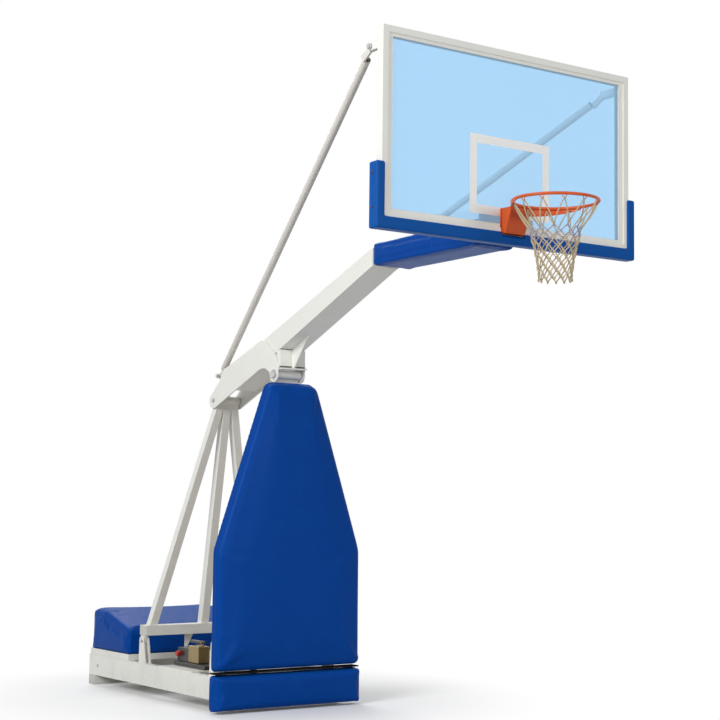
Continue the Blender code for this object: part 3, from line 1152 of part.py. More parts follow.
PUMP_PLATE = 0.008
PUMP_FRONT = 0.885
PUMP_REAR = 1.345
PUMP_BODY = (PUMP_FRONT + 0.155, PUMP_FRONT + 0.295)
PUMP_BODY_TOP = 0.374
PUMP_VALVE_TOP = 0.35
LEVER_PIVOT = (PUMP_BODY[0] + 0.02, PUMP_BODY_TOP + 0.026)
LEVER_HALF = 0.009
LEVER_PIN = 0.005
KNOB_CENTRE = (PUMP_REAR - 0.045, 0.31)
KNOB = 0.018
KNOB_DEPTH = 0.03
PUMP_X = 0.185 - BASE_HALF


def pump(rail):
    """The hand pump that feeds the lift cylinder, on a plate welded to the left rail."""
    plate_top = ON_RAIL + PUMP_PLATE
    join(rail, box("pump_plate", WHITE, (-BASE_HALF + WELD, PUMP_X + 0.105), (PUMP_FRONT, PUMP_REAR),
                   (RAIL_TOP - WELD, plate_top)))
    tank_top = plate_top + 0.03
    box_on = plate_top + GAP
    tank = box("pump_tank", BLACK, (PUMP_X - 0.07, PUMP_X + 0.07), (PUMP_FRONT + 0.02, PUMP_REAR - 0.005),
               (box_on, tank_top))
    bevel(tank, 0.006)
    body_low = tank_top + GAP
    body = box("pump_body", BRASS, (PUMP_X - 0.045, PUMP_X + 0.045), PUMP_BODY, (body_low, PUMP_BODY_TOP))
    bevel(body, 0.005)
    face = PUMP_X - 0.04
    block = box("pump_valve_block", BLACK, (face, PUMP_X + 0.04), (PUMP_BODY[1] + GAP, PUMP_REAR - 0.01),
                (tank_top - WELD, PUMP_VALVE_TOP))
    join(tank, block)
    knob = rod("release_knob", RED, (face - GAP - KNOB_DEPTH, *KNOB_CENTRE), (face - GAP, *KNOB_CENTRE), KNOB)
    hang_on((face, *KNOB_CENTRE), [knob], "release_axis")
    pivot_y, pivot_z = LEVER_PIVOT
    lug = [(pivot_y - 0.012, PUMP_BODY_TOP - WELD), (pivot_y + 0.012, PUMP_BODY_TOP - WELD)]
    lug += arc(LEVER_PIVOT, 0.010, 0, 180)
    join(body, plate("pump_lever_post", BLACK, "YZ", [lug], PUMP_X - 0.006, PUMP_X + 0.006))
    join(body, cross_rod("pump_lever_pin", STEEL, 0.016, LEVER_PIVOT, LEVER_PIN, middle=PUMP_X, sides=16))
    lever = box("pump_lever", BLACK, (PUMP_X - 0.0145, PUMP_X + 0.0145), (pivot_y - 0.018, pivot_y + 0.15),
                (pivot_z - LEVER_HALF, pivot_z + LEVER_HALF))
    cut(lever, box("lever_slot", BLACK, (PUMP_X - 0.008, PUMP_X + 0.008), (pivot_y - 0.06, pivot_y + 0.03),
                   (pivot_z - 0.1, pivot_z + 0.1), CUTTERS))
    cut(lever, cross_rod("lever_bore", BLACK, 0.05, LEVER_PIVOT, LEVER_PIN + AXLE_PLAY, CUTTERS, 16,
                         middle=PUMP_X))
    hang_on((PUMP_X, *LEVER_PIVOT), [lever], "lever_axis")


def build():
    """Model every piece and hang the moving ones on their joints' axes."""
    frame = base_frame()
    rails = {-1: frame["side_rail_left"], 1: frame["side_rail_right"]}
    castors(frame["front_wheel_beam"])
    jacks(rails)
    ballast()
    pivot_brackets(rails)
    pump(rails[-1])
    barrel, ram = lift_cylinder(frame["middle_cross_member"])
    hang_on((0, *CYLINDER_FOOT), [barrel], "cylinder_axis")
    hang_on((0, *CYLINDER_HEAD), [ram], "ram_axis")
    pads = front_pads()
    hang_on((0, *MAST_FOOT), mast() + pads, "mast_axis")
    hang_on((0, *ARM_PIVOT), arm(), "arm_axis")
    hang_on((0, *STRUT_FOOT), strut_frame(), "strut_axis")
    hang_on((0, *BOARD_PIVOT), board() + rim_mount(), "board_axis")
    hang_on((0, *RIM_PIVOT), rim(), "rim_axis")
    hang_on((0, *ROD_TOP), tie_rods(), "rod_axis")


build()
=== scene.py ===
# %% [markdown]
# # A portable basketball stand, dressed
# The steelwork arrives as a finished frame: rails, struts, arm, board and rim, each on the body
# that carries it. This script gives every surface its finish and makes the parts that are soft,
# woven or too fine for the frame: vinyl pads, the net, the painted lines, seams and bolt heads.

# %% Load the frame
import contextlib
import json
import math

import bmesh
import bpy
from mathutils import Matrix, Vector


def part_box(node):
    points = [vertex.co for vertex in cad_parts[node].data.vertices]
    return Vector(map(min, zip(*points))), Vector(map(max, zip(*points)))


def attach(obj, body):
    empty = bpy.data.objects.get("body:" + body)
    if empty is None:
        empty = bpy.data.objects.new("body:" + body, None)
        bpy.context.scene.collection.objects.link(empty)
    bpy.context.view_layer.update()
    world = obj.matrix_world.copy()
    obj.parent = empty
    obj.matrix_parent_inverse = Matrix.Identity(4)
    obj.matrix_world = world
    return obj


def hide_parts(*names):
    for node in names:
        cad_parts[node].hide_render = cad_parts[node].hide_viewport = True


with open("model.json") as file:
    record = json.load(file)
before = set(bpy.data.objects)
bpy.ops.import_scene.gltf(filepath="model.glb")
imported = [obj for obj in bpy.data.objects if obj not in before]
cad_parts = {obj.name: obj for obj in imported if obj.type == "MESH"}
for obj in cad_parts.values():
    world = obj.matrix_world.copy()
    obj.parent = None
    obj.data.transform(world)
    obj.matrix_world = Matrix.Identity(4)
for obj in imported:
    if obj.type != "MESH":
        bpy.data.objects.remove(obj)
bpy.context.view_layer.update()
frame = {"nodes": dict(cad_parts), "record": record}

NODES = frame["nodes"]
print("frame loaded:", len(NODES), "nodes")

# %% [markdown]
# ## A small language for materials
# Node trees read badly as calls. Wrapping a socket in a class with operators lets a finish be
# written as arithmetic, such as `base * (1 - dirt)`, and each operator adds one Math node.

# %% Socket arithmetic


class Sock:
    """A node's output socket that can be used in arithmetic."""

    def __init__(self, recipe, socket):
        self.recipe = recipe
        self.socket = socket

    def math(self, operation, other):
        """A Math node on this value and another."""
        return self.recipe.node("ShaderNodeMath", {"operation": operation}, {0: self, 1: other})

    def __add__(self, other):
        return self.math("ADD", other)

    def __mul__(self, other):
        return self.math("MULTIPLY", other)

    def __sub__(self, other):
        return self.math("SUBTRACT", other)

    def __rsub__(self, other):
        return self.recipe.node("ShaderNodeMath", {"operation": "SUBTRACT"}, {0: other, 1: self})

    __radd__ = __add__
    __rmul__ = __mul__


class Recipe:
    """A material, or the world, whose nodes are written as expressions."""

    def __init__(self, name, kind=bpy.data.materials):
        self.owner = kind.new(name)
        self.owner.use_nodes = True
        self.tree = self.owner.node_tree
        self.shader = self.tree.nodes.get("Principled BSDF")

    def node(self, kind, settings=None, values=None, output=0):
        """Any node: its settings first, then the values or links of its sockets."""
        made = self.tree.nodes.new(kind)
        for key, value in (settings or {}).items():
            setattr(made, key, value)
        for key, value in (values or {}).items():
            self.plug(made.inputs[key], value)
        return Sock(self, made.outputs[output])

    def plug(self, socket, value):
        """Link or set one input."""
        if isinstance(value, Sock):
            self.tree.links.new(value.socket, socket)
        else:
            socket.default_value = value

    def place(self):
        """Object coordinates, which are the frame's own metres."""
        return self.node("ShaderNodeTexCoord", output="Object")

    def height(self):
        """The height above the floor, in metres."""
        return self.node("ShaderNodeSeparateXYZ", values={"Vector": self.place()}, output=2)

    def noise(self, scale, detail=3.0, roughness=0.5, stretch=(1, 1, 1)):
        """A noise value, scale in features per metre."""
        spot = self.node("ShaderNodeMapping", values={"Vector": self.place(), "Scale": stretch})
        return self.node("ShaderNodeTexNoise", values={"Vector": spot, "Scale": scale,
                                                       "Detail": detail, "Roughness": roughness})

    def mask(self, value, start, end, low=0.0, high=1.0, soft=False):
        """A value's stretch from start to end, as a value from low to high."""
        kind = "SMOOTHSTEP" if soft else "LINEAR"
        return self.node("ShaderNodeMapRange", {"interpolation_type": kind},
                         {"Value": value, "From Min": start, "From Max": end,
                          "To Min": low, "To Max": high})

    def mix(self, factor, first, second):
        """A colour between two."""
        return self.node("ShaderNodeMix", {"data_type": "RGBA"}, {0: factor, 6: first, 7: second},
                         output=2)

    def bump(self, height, distance, strength=1.0):
        """A normal from a height in shares of a distance in metres."""
        return self.node("ShaderNodeBump", values={"Height": height, "Distance": distance,
                                                   "Strength": strength})

    def looked_at(self):
        """1 where the camera, gloss or glass looks, and 0 for light that bounces."""
        seen = self.node("ShaderNodeLightPath")
        outputs = seen.socket.node.outputs
        for name in ("Is Glossy Ray", "Is Transmission Ray"):
            seen = seen.math("MAXIMUM", Sock(self, outputs[name]))
        return seen

    def finish(self, **values):
        """Plug the Principled shader's sockets, with spaces for underscores."""
        for key, value in values.items():
            self.plug(self.shader.inputs[key.replace("_", " ")], value)
        return self.owner


def linear(red, green, blue):
    """A linear colour from display values of 0 to 255."""
    return tuple(v / 255 / 12.92 if v <= 10 else ((v / 255 + 0.055) / 1.055) ** 2.4
                 for v in (red, green, blue))


def rgba(colour):
    """A colour with full alpha, for a socket."""
    return (*colour, 1.0)


def darker(colour, share):
    """A share of a colour's light, for a socket."""
    return rgba(tuple(v * share for v in colour))


print("material language ready")

# %% [markdown]
# ## Backdrop
# The stand is photographed as for a catalogue, on plain white. The sky looks white to the camera,
# to gloss and through glass, which gives the page its colour, and adds only a little light.

# %% World
PAGE_COLOUR = (1.0, 1.0, 1.0)
PAGE_WHITE = 1.0
SKY_COLOUR = (0.93, 0.96, 1.0)
SKY_STRENGTH = 0.25


def white_world():
    """A world that looks white and lights softly."""
    r = Recipe("studio", bpy.data.worlds)
    r.tree.nodes.clear()
    sky = r.node("ShaderNodeBackground", values={"Color": rgba(SKY_COLOUR), "Strength": SKY_STRENGTH})
    page = r.node("ShaderNodeBackground", values={"Color": rgba(PAGE_COLOUR), "Strength": PAGE_WHITE})
    shown = r.node("ShaderNodeMixShader", values={0: r.looked_at(), 1: sky, 2: page})
    r.plug(r.tree.nodes.new("ShaderNodeOutputWorld").inputs["Surface"], shown)
    return r.owner


bpy.context.scene.world = white_world()
bpy.context.scene.view_settings.view_transform = "Standard"
print("world: white page, sky strength", SKY_STRENGTH)

# %% [markdown]
# ## Camera
# The photograph is taken from the hoop side, a little above waist height, with a long lens. The
# place and turn come from lines of known size: the board, its painted rectangle and the ring.

# %% Camera
CAMERA_PLACE = Vector((-5.886, -8.661, 1.414))
CAMERA_TURN = math.radians(-35.285)
CAMERA_RISE = math.radians(-4.864)
CAMERA_ROLL = math.radians(0.669)
FOCAL_PIXELS = 1604.11
FRAME_PIXELS = 720
SENSOR = 36.0


def link_new(name, data):
    """A new object from its data, linked to the scene."""
    made = bpy.data.objects.new(name, data)
    bpy.context.scene.collection.objects.link(made)
    return made


def add_camera():
    """The photograph's camera."""
    data = bpy.data.cameras.new("camera")
    data.sensor_width = SENSOR
    data.lens = FOCAL_PIXELS / FRAME_PIXELS * SENSOR
    data.clip_end = 200
    camera = link_new("camera", data)
    a, e = CAMERA_TURN, CAMERA_RISE
    forward = Vector((-math.sin(a) * math.cos(e), math.cos(a) * math.cos(e), -math.sin(e)))
    right = Vector((math.cos(a), math.sin(a), 0))
    up = right.cross(forward)
    c, s = math.cos(CAMERA_ROLL), math.sin(CAMERA_ROLL)
    right, up = right * c + up * s, up * c - right * s
    turn = Matrix((right, up, -forward)).transposed().to_4x4()
    camera.matrix_world = Matrix.Translation(CAMERA_PLACE) @ turn
    bpy.context.scene.camera = camera
    print("camera: lens", round(data.lens, 2), "mm")


add_camera()

# %% [markdown]
# ## Lamps
# One large soft lamp stands high on the hoop side, left of the camera, so that the left faces are
# the bright ones as in the photograph. A weaker one fills from the right and one lifts the back.

# %% Lamps
LAMPS_FACE = Vector((0, 0, 1.8))


def lamp(name, place, size, power):
    """A square area lamp that faces the stand's middle."""
    data = bpy.data.lights.new(name, "AREA")
    data.size = size
    data.energy = power
    made = link_new(name, data)
    made.location = place
    made.rotation_euler = (LAMPS_FACE - Vector(place)).to_track_quat("-Z", "Y").to_euler()


lamp("key", (-9.5, -3.0, 6.0), 4.5, 820)
lamp("fill", (1.0, -12.0, 4.5), 5.0, 370)
lamp("back", (2.0, 8.0, 8.5), 5.0, 430)
print("three lamps")

# %% [markdown]
# ## Modelling helpers
# Most pieces start as Blender's own primitives. A piece's place, turn and scale go into its mesh,
# so that every object stays at the origin, as the frame's nodes do. Faces and edges are chosen in
# code, by their place or normal, and shaped with the tools of edit mode.

# %% Selection, primitives and finishing
SIDES = (-1, 1)


def clear_selection():
    """Nothing selected and nothing active."""
    for other in bpy.context.selected_objects:
        other.select_set(False)
    bpy.context.view_layer.objects.active = None


def only(piece):
    """Select one object and make it active."""
    clear_selection()
    piece.select_set(True)
    bpy.context.view_layer.objects.active = piece


def named(name):
    """Name the active object and its mesh."""
    made = bpy.context.object
    made.name = name
    made.data.name = name
    return made


def primitive(add, name, scale=(1, 1, 1), **settings):
    """One of Blender's mesh primitives, with its place, turn and scale in its mesh."""
    clear_selection()
    add(**settings)
    made = named(name)
    made.scale = scale
    bpy.ops.object.transform_apply(location=True, rotation=True, scale=True)
    return made


@contextlib.contextmanager
def edit_mode(piece, kind="FACE", chosen=lambda item: True):
    """Edit mode with only the chosen faces or edges selected."""
    only(piece)
    bpy.ops.object.mode_set(mode="EDIT")
    bpy.ops.mesh.select_mode(type=kind)
    bm = bmesh.from_edit_mesh(piece.data)
    for item in bm.faces if kind == "FACE" else bm.edges:
        item.select = chosen(item)
    bm.select_flush_mode()
    bmesh.update_edit_mesh(piece.data)
    yield
    bpy.ops.object.mode_set(mode="OBJECT")


def apply_modifier(piece, kind, **settings):
    """Add a modifier and apply it at once."""
    only(piece)
    added = piece.modifiers.new(kind.lower(), kind)
    for key, value in settings.items():
        setattr(added, key, value)
    bpy.ops.object.modifier_apply(modifier=added.name)


def bevelled(piece, width, angle=0.6):
    """Round a piece's edges that are sharper than an angle."""
    apply_modifier(piece, "BEVEL", width=width, segments=2, limit_method="ANGLE", angle_limit=angle)


def joined(pieces, name):
    """Join meshes into one object."""
    clear_selection()
    for piece in pieces:
        piece.select_set(True)
    bpy.context.view_layer.objects.active = pieces[0]
    bpy.ops.object.join()
    return named(name)


def smooth(piece):
    """Shade the whole piece smooth."""
    only(piece)
    bpy.ops.object.shade_smooth()


def smooth_angle(piece, degrees):
    """Shade smooth, with edges sharper than an angle left crisp."""
    only(piece)
    bpy.ops.object.shade_smooth_by_angle(angle=math.radians(degrees))


def coat(piece, finish):
    """Give a piece one finish."""
    piece.data.materials.clear()
    piece.data.materials.append(finish)


def dress(piece, finish, body, slot, *nodes):
    """Give a piece its finish, its body and the nodes that it stands for. The slot is not used."""
    coat(piece, finish)
    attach(piece, body)
    if nodes:
        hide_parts(*nodes)
    print("%s rides on %s with %d faces" % (piece.name, body, len(piece.data.polygons)))


print("modelling helpers ready")

# %% [markdown]
# ## Steel paint
# The steelwork is powder coated. Baked powder has a fine orange-peel ripple, stays evenly
# white, and picks up a little grey dust low down, where feet and mops reach it. The ripple is a
# bump of small noise, and the dust is a mask of height times a broad noise.

# %% Powder coats
WHITE = linear(236, 236, 230)
# The tie rods' colour: a darker, greyer copy of the white.
ROD_COAT = linear(216, 213, 206)
DUST = linear(176, 170, 158)


def powder_coat(name, colour, grime=0.26, rough=0.34, peel=0.55, coat=0.12):
    """Powder coat with an orange-peel ripple, faint mottling and dust low down."""
    r = Recipe(name)
    low = r.mask(r.height(), 0.9, 0.0, 0.15, 1.0, soft=True)
    broad = r.noise(7.0, 4.0, 0.6)
    dust = r.mask(broad * 0.7 + r.noise(60.0, 3.0, 0.6) * 0.3, 0.45, 0.72)
    shade = r.mix(broad * 0.10, rgba(colour), darker(colour, 0.82))
    base = r.mix(dust * low * grime, shade, rgba(DUST))
    ripple = r.noise(420.0, 2.0, 0.45) * 0.7 + r.noise(1500.0, 2.0, 0.5) * 0.3
    return r.finish(Base_Color=base, Roughness=dust * low * 0.25 + rough,
                    Normal=r.bump(ripple, 0.00025, peel), Coat_Weight=coat, Coat_Roughness=0.18)


white_paint = powder_coat("white_powder_coat", WHITE)
rod_paint = powder_coat("tie_rod_powder_coat", ROD_COAT, grime=0.2, rough=0.5, peel=0.12, coat=0.0)
print("paints:", white_paint.name, rod_paint.name)

# %% [markdown]
# ## Vinyl
# The pads are foam under coated fabric. The fabric has a pressed leather grain, soft sheen, and
# slow waves where foam and fabric part. Its grain is a Voronoi cell pattern a couple of
# millimetres across, and a pale blue sheen lifts it where light grazes it.

# %% Blue vinyl
BLUE = linear(0, 66, 152)
BLUE_PALE = linear(40, 138, 216)


def vinyl(name, colour, pale, rough=0.42):
    """Coated fabric with pressed grain, slow waves and faint rubbed patches."""
    r = Recipe(name)
    cells = r.node("ShaderNodeTexVoronoi", {"feature": "DISTANCE_TO_EDGE"},
                   {"Vector": r.place(), "Scale": 430.0, "Randomness": 1.0})
    grain = r.mask(cells, 0.0, 0.22)
    waves = r.noise(3.2, 3.0, 0.5)
    rub = r.mask(r.noise(11.0, 5.0, 0.65), 0.5, 0.8)
    base = r.mix(rub * 0.04, rgba(colour), rgba(pale))
    deep = r.mix(waves * 0.16, base, darker(colour, 0.62))
    height = grain * 0.05 + waves * 0.9 + r.noise(1700.0, 2.0, 0.6) * 0.02
    return r.finish(Base_Color=deep, Roughness=rub * 0.12 + rough - grain * 0.05,
                    Normal=r.bump(height, 0.004, 0.5), Sheen_Weight=0.35, Sheen_Roughness=0.35,
                    Sheen_Tint=rgba(pale), Specular_IOR_Level=0.07)


blue_vinyl = vinyl("blue_vinyl", BLUE, BLUE_PALE)
print("vinyl:", blue_vinyl.name)

# %% [markdown]
# ## Moulded foam
# The board's edge pad is moulded, not sewn: a skinned foam that is greener than the vinyl, with
# a fine pebble and tiny pinholes left by the mould.

# %% Board pad foam
FOAM = linear(0, 80, 160)


def moulded_foam(name, colour):
    """Skinned polyurethane foam with pebble and pinholes."""
    r = Recipe(name)
    holes = r.node("ShaderNodeTexVoronoi", {"feature": "F1"}, {"Vector": r.place(), "Scale": 160.0})
    pit = r.mask(holes, 0.06, 0.16)
    mottle = r.noise(18.0, 4.0, 0.6)
    pebble = r.noise(900.0, 3.0, 0.6)
    base = r.mix(mottle * 0.22, rgba(colour), darker(colour, 0.68))
    return r.finish(Base_Color=base, Roughness=mottle * 0.16 + 0.40,
                    Normal=r.bump(pebble * 0.5 + pit * 0.5, 0.0004, 0.5), Specular_IOR_Level=0.12)


board_foam = moulded_foam("board_pad_foam", FOAM)
print("foam:", board_foam.name)

# %% [markdown]
# ## Toughened glass
# The backboard is one sheet of toughened glass. It shows as a flat pale blue, and the rods
# behind it are only just seen. Most of the light goes through the sheet, and a smaller share is
# held by a blue veil with faint wiped smears. The sheet also glows faintly in its own blue, which
# is painted light.

# %% Glass
GLASS_AND_GLOW = linear(174, 217, 249)
GLASS_SMEAR = linear(190, 226, 250)


def toughened_glass():
    """Pale blue glass that shows faintly what is behind it, with a faint painted glow."""
    r = Recipe("toughened_glass")
    smear = r.noise(2.2, 5.0, 0.62, (1.0, 1.0, 3.0))
    base = r.mix(smear * 0.12, rgba(GLASS_AND_GLOW), rgba(GLASS_SMEAR))
    film = r.mask(smear, 0.45, 0.8, 0.02, 0.07)
    # The emission is painted light: the sheet glows faintly in the glass blue.
    return r.finish(Base_Color=base, Roughness=film, IOR=1.45, Transmission_Weight=0.72,
                    Normal=r.bump(r.noise(1.3, 2.0, 0.5), 0.0006, 0.3), Emission_Color=rgba(GLASS_AND_GLOW),
                    Emission_Strength=0.12)


board_glass = toughened_glass()
print("glass:", board_glass.name)

# %% [markdown]
# ## Metals, ring paint and small finishes
# Pins, shafts, screws and the ram are zinc plated or hard chromed steel: metallic, slightly
# brushed, with cloudy patches of plating. The ring is powder coated orange and is rubbed by
# balls and the net. Enamel, iron, rubber and plastic share one recipe of two tones and a grain.

# %% Metals
def plated_steel(name, colour, rough=0.32, clouds=0.2):
    """Plated steel with clouded zinc and fine draw lines."""
    r = Recipe(name)
    cloud = r.noise(38.0, 4.0, 0.6)
    grit = r.noise(700.0, 2.0, 0.5, (0.15, 1.0, 1.0))
    base = r.mix(cloud * clouds, rgba(colour), darker(colour, 0.55))
    return r.finish(Base_Color=base, Metallic=1.0, Roughness=cloud * 0.22 + grit * 0.08 + rough - 0.12,
                    Normal=r.bump(grit, 0.00012, 0.6))


zinc = plated_steel("zinc_steel", linear(205, 206, 205))
brass = plated_steel("brass_fitting", linear(168, 150, 112), 0.40, 0.5)
print("metals:", zinc.name, brass.name)

# %% Orange ring paint
ORANGE = linear(214, 88, 34)
ORANGE_DEEP = linear(152, 56, 10)
ORANGE_WORN = linear(206, 150, 112)


def ring_paint():
    """Orange powder coat, rubbed darker and duller where the ball and net touch it."""
    r = Recipe("orange_ring_paint")
    patch = r.noise(24.0, 5.0, 0.65)
    worn = r.mask(r.noise(95.0, 4.0, 0.7), 0.56, 0.74)
    base = r.mix(patch * 0.25, rgba(ORANGE), rgba(ORANGE_DEEP))
    scuffed = r.mix(worn * 0.22, base, rgba(ORANGE_WORN))
    return r.finish(Base_Color=scuffed, Roughness=worn * 0.22 + 0.36, Specular_IOR_Level=0.3,
                    Normal=r.bump(r.noise(520.0, 2.0, 0.5) * 0.6 + worn * 0.3, 0.0003, 0.6))


orange_paint = ring_paint()
print("ring paint:", orange_paint.name)

# %% Dark and small finishes
def plain_finish(name, colour, dark, rough, grain, depth, **extra):
    """A dull finish from two colours and a grain."""
    r = Recipe(name)
    patch = r.noise(20.0, 4.0, 0.6)
    fine = r.noise(grain, 3.0, 0.6)
    base = r.mix(patch * 0.6 + fine * 0.2, rgba(colour), rgba(dark))
    return r.finish(Base_Color=base, Roughness=patch * 0.18 + rough,
                    Normal=r.bump(fine, depth, 0.6), **extra)


black_paint = plain_finish("black_enamel", linear(42, 42, 44), linear(24, 24, 26), 0.30, 380.0, 0.0002,
                           Coat_Weight=0.3, Coat_Roughness=0.15)
cast_iron = plain_finish("painted_iron", linear(92, 94, 97), linear(60, 60, 64), 0.50, 240.0, 0.0008)
tyre = plain_finish("wheel_tread", linear(70, 70, 72), linear(44, 44, 46), 0.55, 300.0, 0.0004)
bead_rubber = plain_finish("glazing_rubber", linear(150, 151, 150), linear(112, 113, 114), 0.50, 500.0,
                           0.0002)
red_plastic = plain_finish("red_knob_plastic", linear(196, 32, 30), linear(140, 20, 20), 0.28, 600.0,
                           0.0001, Coat_Weight=0.2)
# Painted shade: the strip in the slit under the tall pad is near black and has no gloss, so the slit
# reads dark.
slit_shade_finish = plain_finish("painted_slit_shade", linear(38, 40, 46), linear(26, 28, 32), 0.90, 700.0,
                          0.0003, Specular_IOR_Level=0.0)
cap_plastic = plain_finish("cap_plastic", linear(206, 206, 202), linear(186, 186, 182), 0.42, 500.0,
                           0.0002)
print("seven small finishes")

# %% [markdown]
# ## Birch plywood
# Each big pad is stapled to a sheet of plywood that shows from behind. The face has long grain
# streaks up the board, which a noise stretched fifteen to one gives, and a few darker flecks.

# %% Plywood
BIRCH = linear(205, 176, 132)
BIRCH_STREAK = linear(156, 120, 78)
BIRCH_FLECK = linear(120, 88, 56)


def plywood():
    """Birch ply with grain that runs up the board."""
    r = Recipe("pad_board_plywood")
    streak = r.noise(48.0, 5.0, 0.62, (1.0, 1.0, 0.06))
    fleck = r.noise(300.0, 3.0, 0.6, (1.0, 1.0, 0.12))
    base = r.mix(streak * 0.9, rgba(BIRCH), rgba(BIRCH_STREAK))
    return r.finish(Base_Color=r.mix(fleck * 0.3, base, rgba(BIRCH_FLECK)),
                    Roughness=streak * 0.15 + 0.52,
                    Normal=r.bump(fleck * 0.6 + streak * 0.4, 0.0005, 0.6))


ply = plywood()
print("plywood:", ply.name)

# %% Finishes go on the frame's nodes
FINISHES = {"white_paint": white_paint, "blue_vinyl": blue_vinyl, "pad_board": ply,
            "board_glass": board_glass, "grey_bead": bead_rubber, "zinc_steel": zinc,
            "orange_paint": orange_paint, "net_rope": zinc, "ballast_iron": cast_iron,
            "black_paint": black_paint, "brass": brass, "red_knob": red_plastic, "wheel_tread": tyre}
ROD_NODES = ("tie_rod_left", "tie_rod_right")


def dress_nodes():
    """Give every node the finish of its material slot."""
    for part in frame["record"]["subparts"]:
        # The tie rods take the darker, greyer copy of the white coat.
        grey = part["node"] in ROD_NODES
        coat(NODES[part["node"]], rod_paint if grey else FINISHES[part["material_slot"]])
    # Bounced light passes the glass as if it were open, so that the rods behind it stay unspeckled.
    NODES["board_glass"].visible_diffuse = False


dress_nodes()

# %% [markdown]
# ## Floor
# A large pale disc under the feet takes the shadow. Further out the page has no horizon, so the
# disc turns into plain page white for the camera, for gloss and for glass, and the change is
# spread over a metre and a half so that no edge shows. To the lamps the disc is a greyer floor,
# as a gym floor is, which keeps the undersides of the arm and the pads dark.

# %% Floor
FLOOR_SIZE = 60.0
FLOOR_DROP = 0.001
FLOOR_NEAR = 0.7
FLOOR_FAR = 2.3
FLOOR_MIDDLE = (0.0, 1.2, 0.0)
FLOOR_PALE = (0.95, 0.95, 0.95)
FLOOR_PATCH = (0.90, 0.90, 0.91)
FLOOR_TO_LAMPS = (0.50, 0.49, 0.47)


def floor_finish():
    """Pale and matt near the stand, page white far from it."""
    r = Recipe("studio_floor")
    shown = r.mix(r.noise(0.8, 3.0) * 0.04, rgba(FLOOR_PALE), rgba(FLOOR_PATCH))
    camera = r.node("ShaderNodeLightPath", output="Is Camera Ray")
    r.finish(Base_Color=r.mix(camera, rgba(FLOOR_TO_LAMPS), shown), Roughness=0.9)
    spot = r.node("ShaderNodeVectorMath", {"operation": "SUBTRACT"}, {0: r.place(), 1: FLOOR_MIDDLE})
    away = r.node("ShaderNodeVectorMath", {"operation": "LENGTH"}, {0: spot}, output=1)
    far = r.mask(away, FLOOR_NEAR, FLOOR_FAR, soft=True)
    page = r.node("ShaderNodeEmission", values={"Color": rgba(PAGE_COLOUR), "Strength": PAGE_WHITE})
    mixed = r.node("ShaderNodeMixShader",
                   values={0: far * r.looked_at(), 1: Sock(r, r.shader.outputs[0]), 2: page})
    r.plug(r.tree.nodes["Material Output"].inputs["Surface"], mixed)
    return r.owner


def add_floor():
    """A disc under the feet."""
    floor = primitive(bpy.ops.mesh.primitive_circle_add, "floor", vertices=96, radius=FLOOR_SIZE / 2,
                      fill_type="NGON", location=(0, 0, -FLOOR_DROP))
    floor.data.materials.append(floor_finish())
    print("floor added")


add_floor()

# %% [markdown]
# ## Softened steel edges
# Rolled tube and laser-cut plate have no knife edges: powder rounds them over and they catch a
# thin line of light. The frame's own meshes stay as they are, and a weld and a small bevel
# modifier on top of each one round the edges for the render. Round bars have no edge to soften.

# %% Edge bevels on the frame's nodes
EDGE_ROUND = 0.0016
THIN_ROUND = 0.4 * EDGE_ROUND
MERGED = 0.00002
SHARP = math.radians(38)
SOFT_NODES = ("upper_front_pad", "lower_front_pad", "arm_pad", "board_pad", "ballast_cover", "net")
ROUND_NODES = ("rim_ring", "tie_rod_left", "tie_rod_right")
THIN_WORDS = ("board_glass", "glazing_bead", "rim_housing", "rim_back_plate", "castor")


def soften_edges():
    """Weld and bevel modifiers on every hard node that stays in view."""
    for name, node in NODES.items():
        if name in SOFT_NODES + ROUND_NODES:
            continue
        node.modifiers.new("weld", "WELD").merge_threshold = MERGED
        bevel = node.modifiers.new("bevel", "BEVEL")
        bevel.width = THIN_ROUND if any(word in name for word in THIN_WORDS) else EDGE_ROUND
        bevel.segments = 2
        bevel.limit_method = "ANGLE"
        bevel.angle_limit = SHARP
        bevel.harden_normals = True
    print("softened the edges of", len(NODES) - len(SOFT_NODES) - len(ROUND_NODES), "nodes")


soften_edges()

# %% [markdown]
# ## Padding as cloth over foam
# A pad is cut foam on a board, wrapped in vinyl that is pulled round to the back and stapled. The
# vinyl stays flat at the board and swells a little everywhere else. Each pad starts as a copy of
# the frame's own solid, made slightly smaller, remeshed evenly, and blown up by Blender's cloth
# with its back held. A cap keeps it inside its solid, and one subdivision smooths it.

# %% Padding helpers
CLOTH_FRAMES = 20
CLOTH_SETTINGS = {"quality": 4, "mass": 0.35, "tension_stiffness": 25, "compression_stiffness": 15,
                  "bending_stiffness": 4, "use_pressure": True, "uniform_pressure_force": 4.0,
                  "vertex_group_mass": "held"}


def copied_solid(node, name):
    """A merged copy of a node's mesh as a new object at the origin."""
    source = NODES[node]
    mesh = source.data.copy()
    mesh.transform(source.matrix_world)
    bm = bmesh.new()
    bm.from_mesh(mesh)
    bmesh.ops.remove_doubles(bm, verts=bm.verts, dist=MERGED)
    bm.to_mesh(mesh)
    bm.free()
    return link_new(name, mesh)


def even_mesh(piece, voxel):
    """Remesh a piece into even faces."""
    apply_modifier(piece, "REMESH", mode="VOXEL", voxel_size=voxel, use_smooth_shade=True)


def shrink(piece, amounts, held=(0, 0, 0)):
    """Draw each axis in by its amount, towards the middle or towards a held side (-1 or 1)."""
    corners = [[v.co[i] for v in piece.data.vertices] for i in range(3)]
    for axis in range(3):
        low, high = min(corners[axis]), max(corners[axis])
        anchor = {0: (low + high) / 2, -1: low, 1: high}[held[axis]]
        reach = max(high - anchor, anchor - low)
        factor = 1 - amounts[axis] / reach
        for v in piece.data.vertices:
            v.co[axis] = anchor + (v.co[axis] - anchor) * factor


def grouped(piece, name, chosen):
    """A vertex group of the points that are chosen by their place."""
    group = piece.vertex_groups.new(name=name)
    group.add([v.index for v in piece.data.vertices if chosen(v.co)], 1.0, "REPLACE")


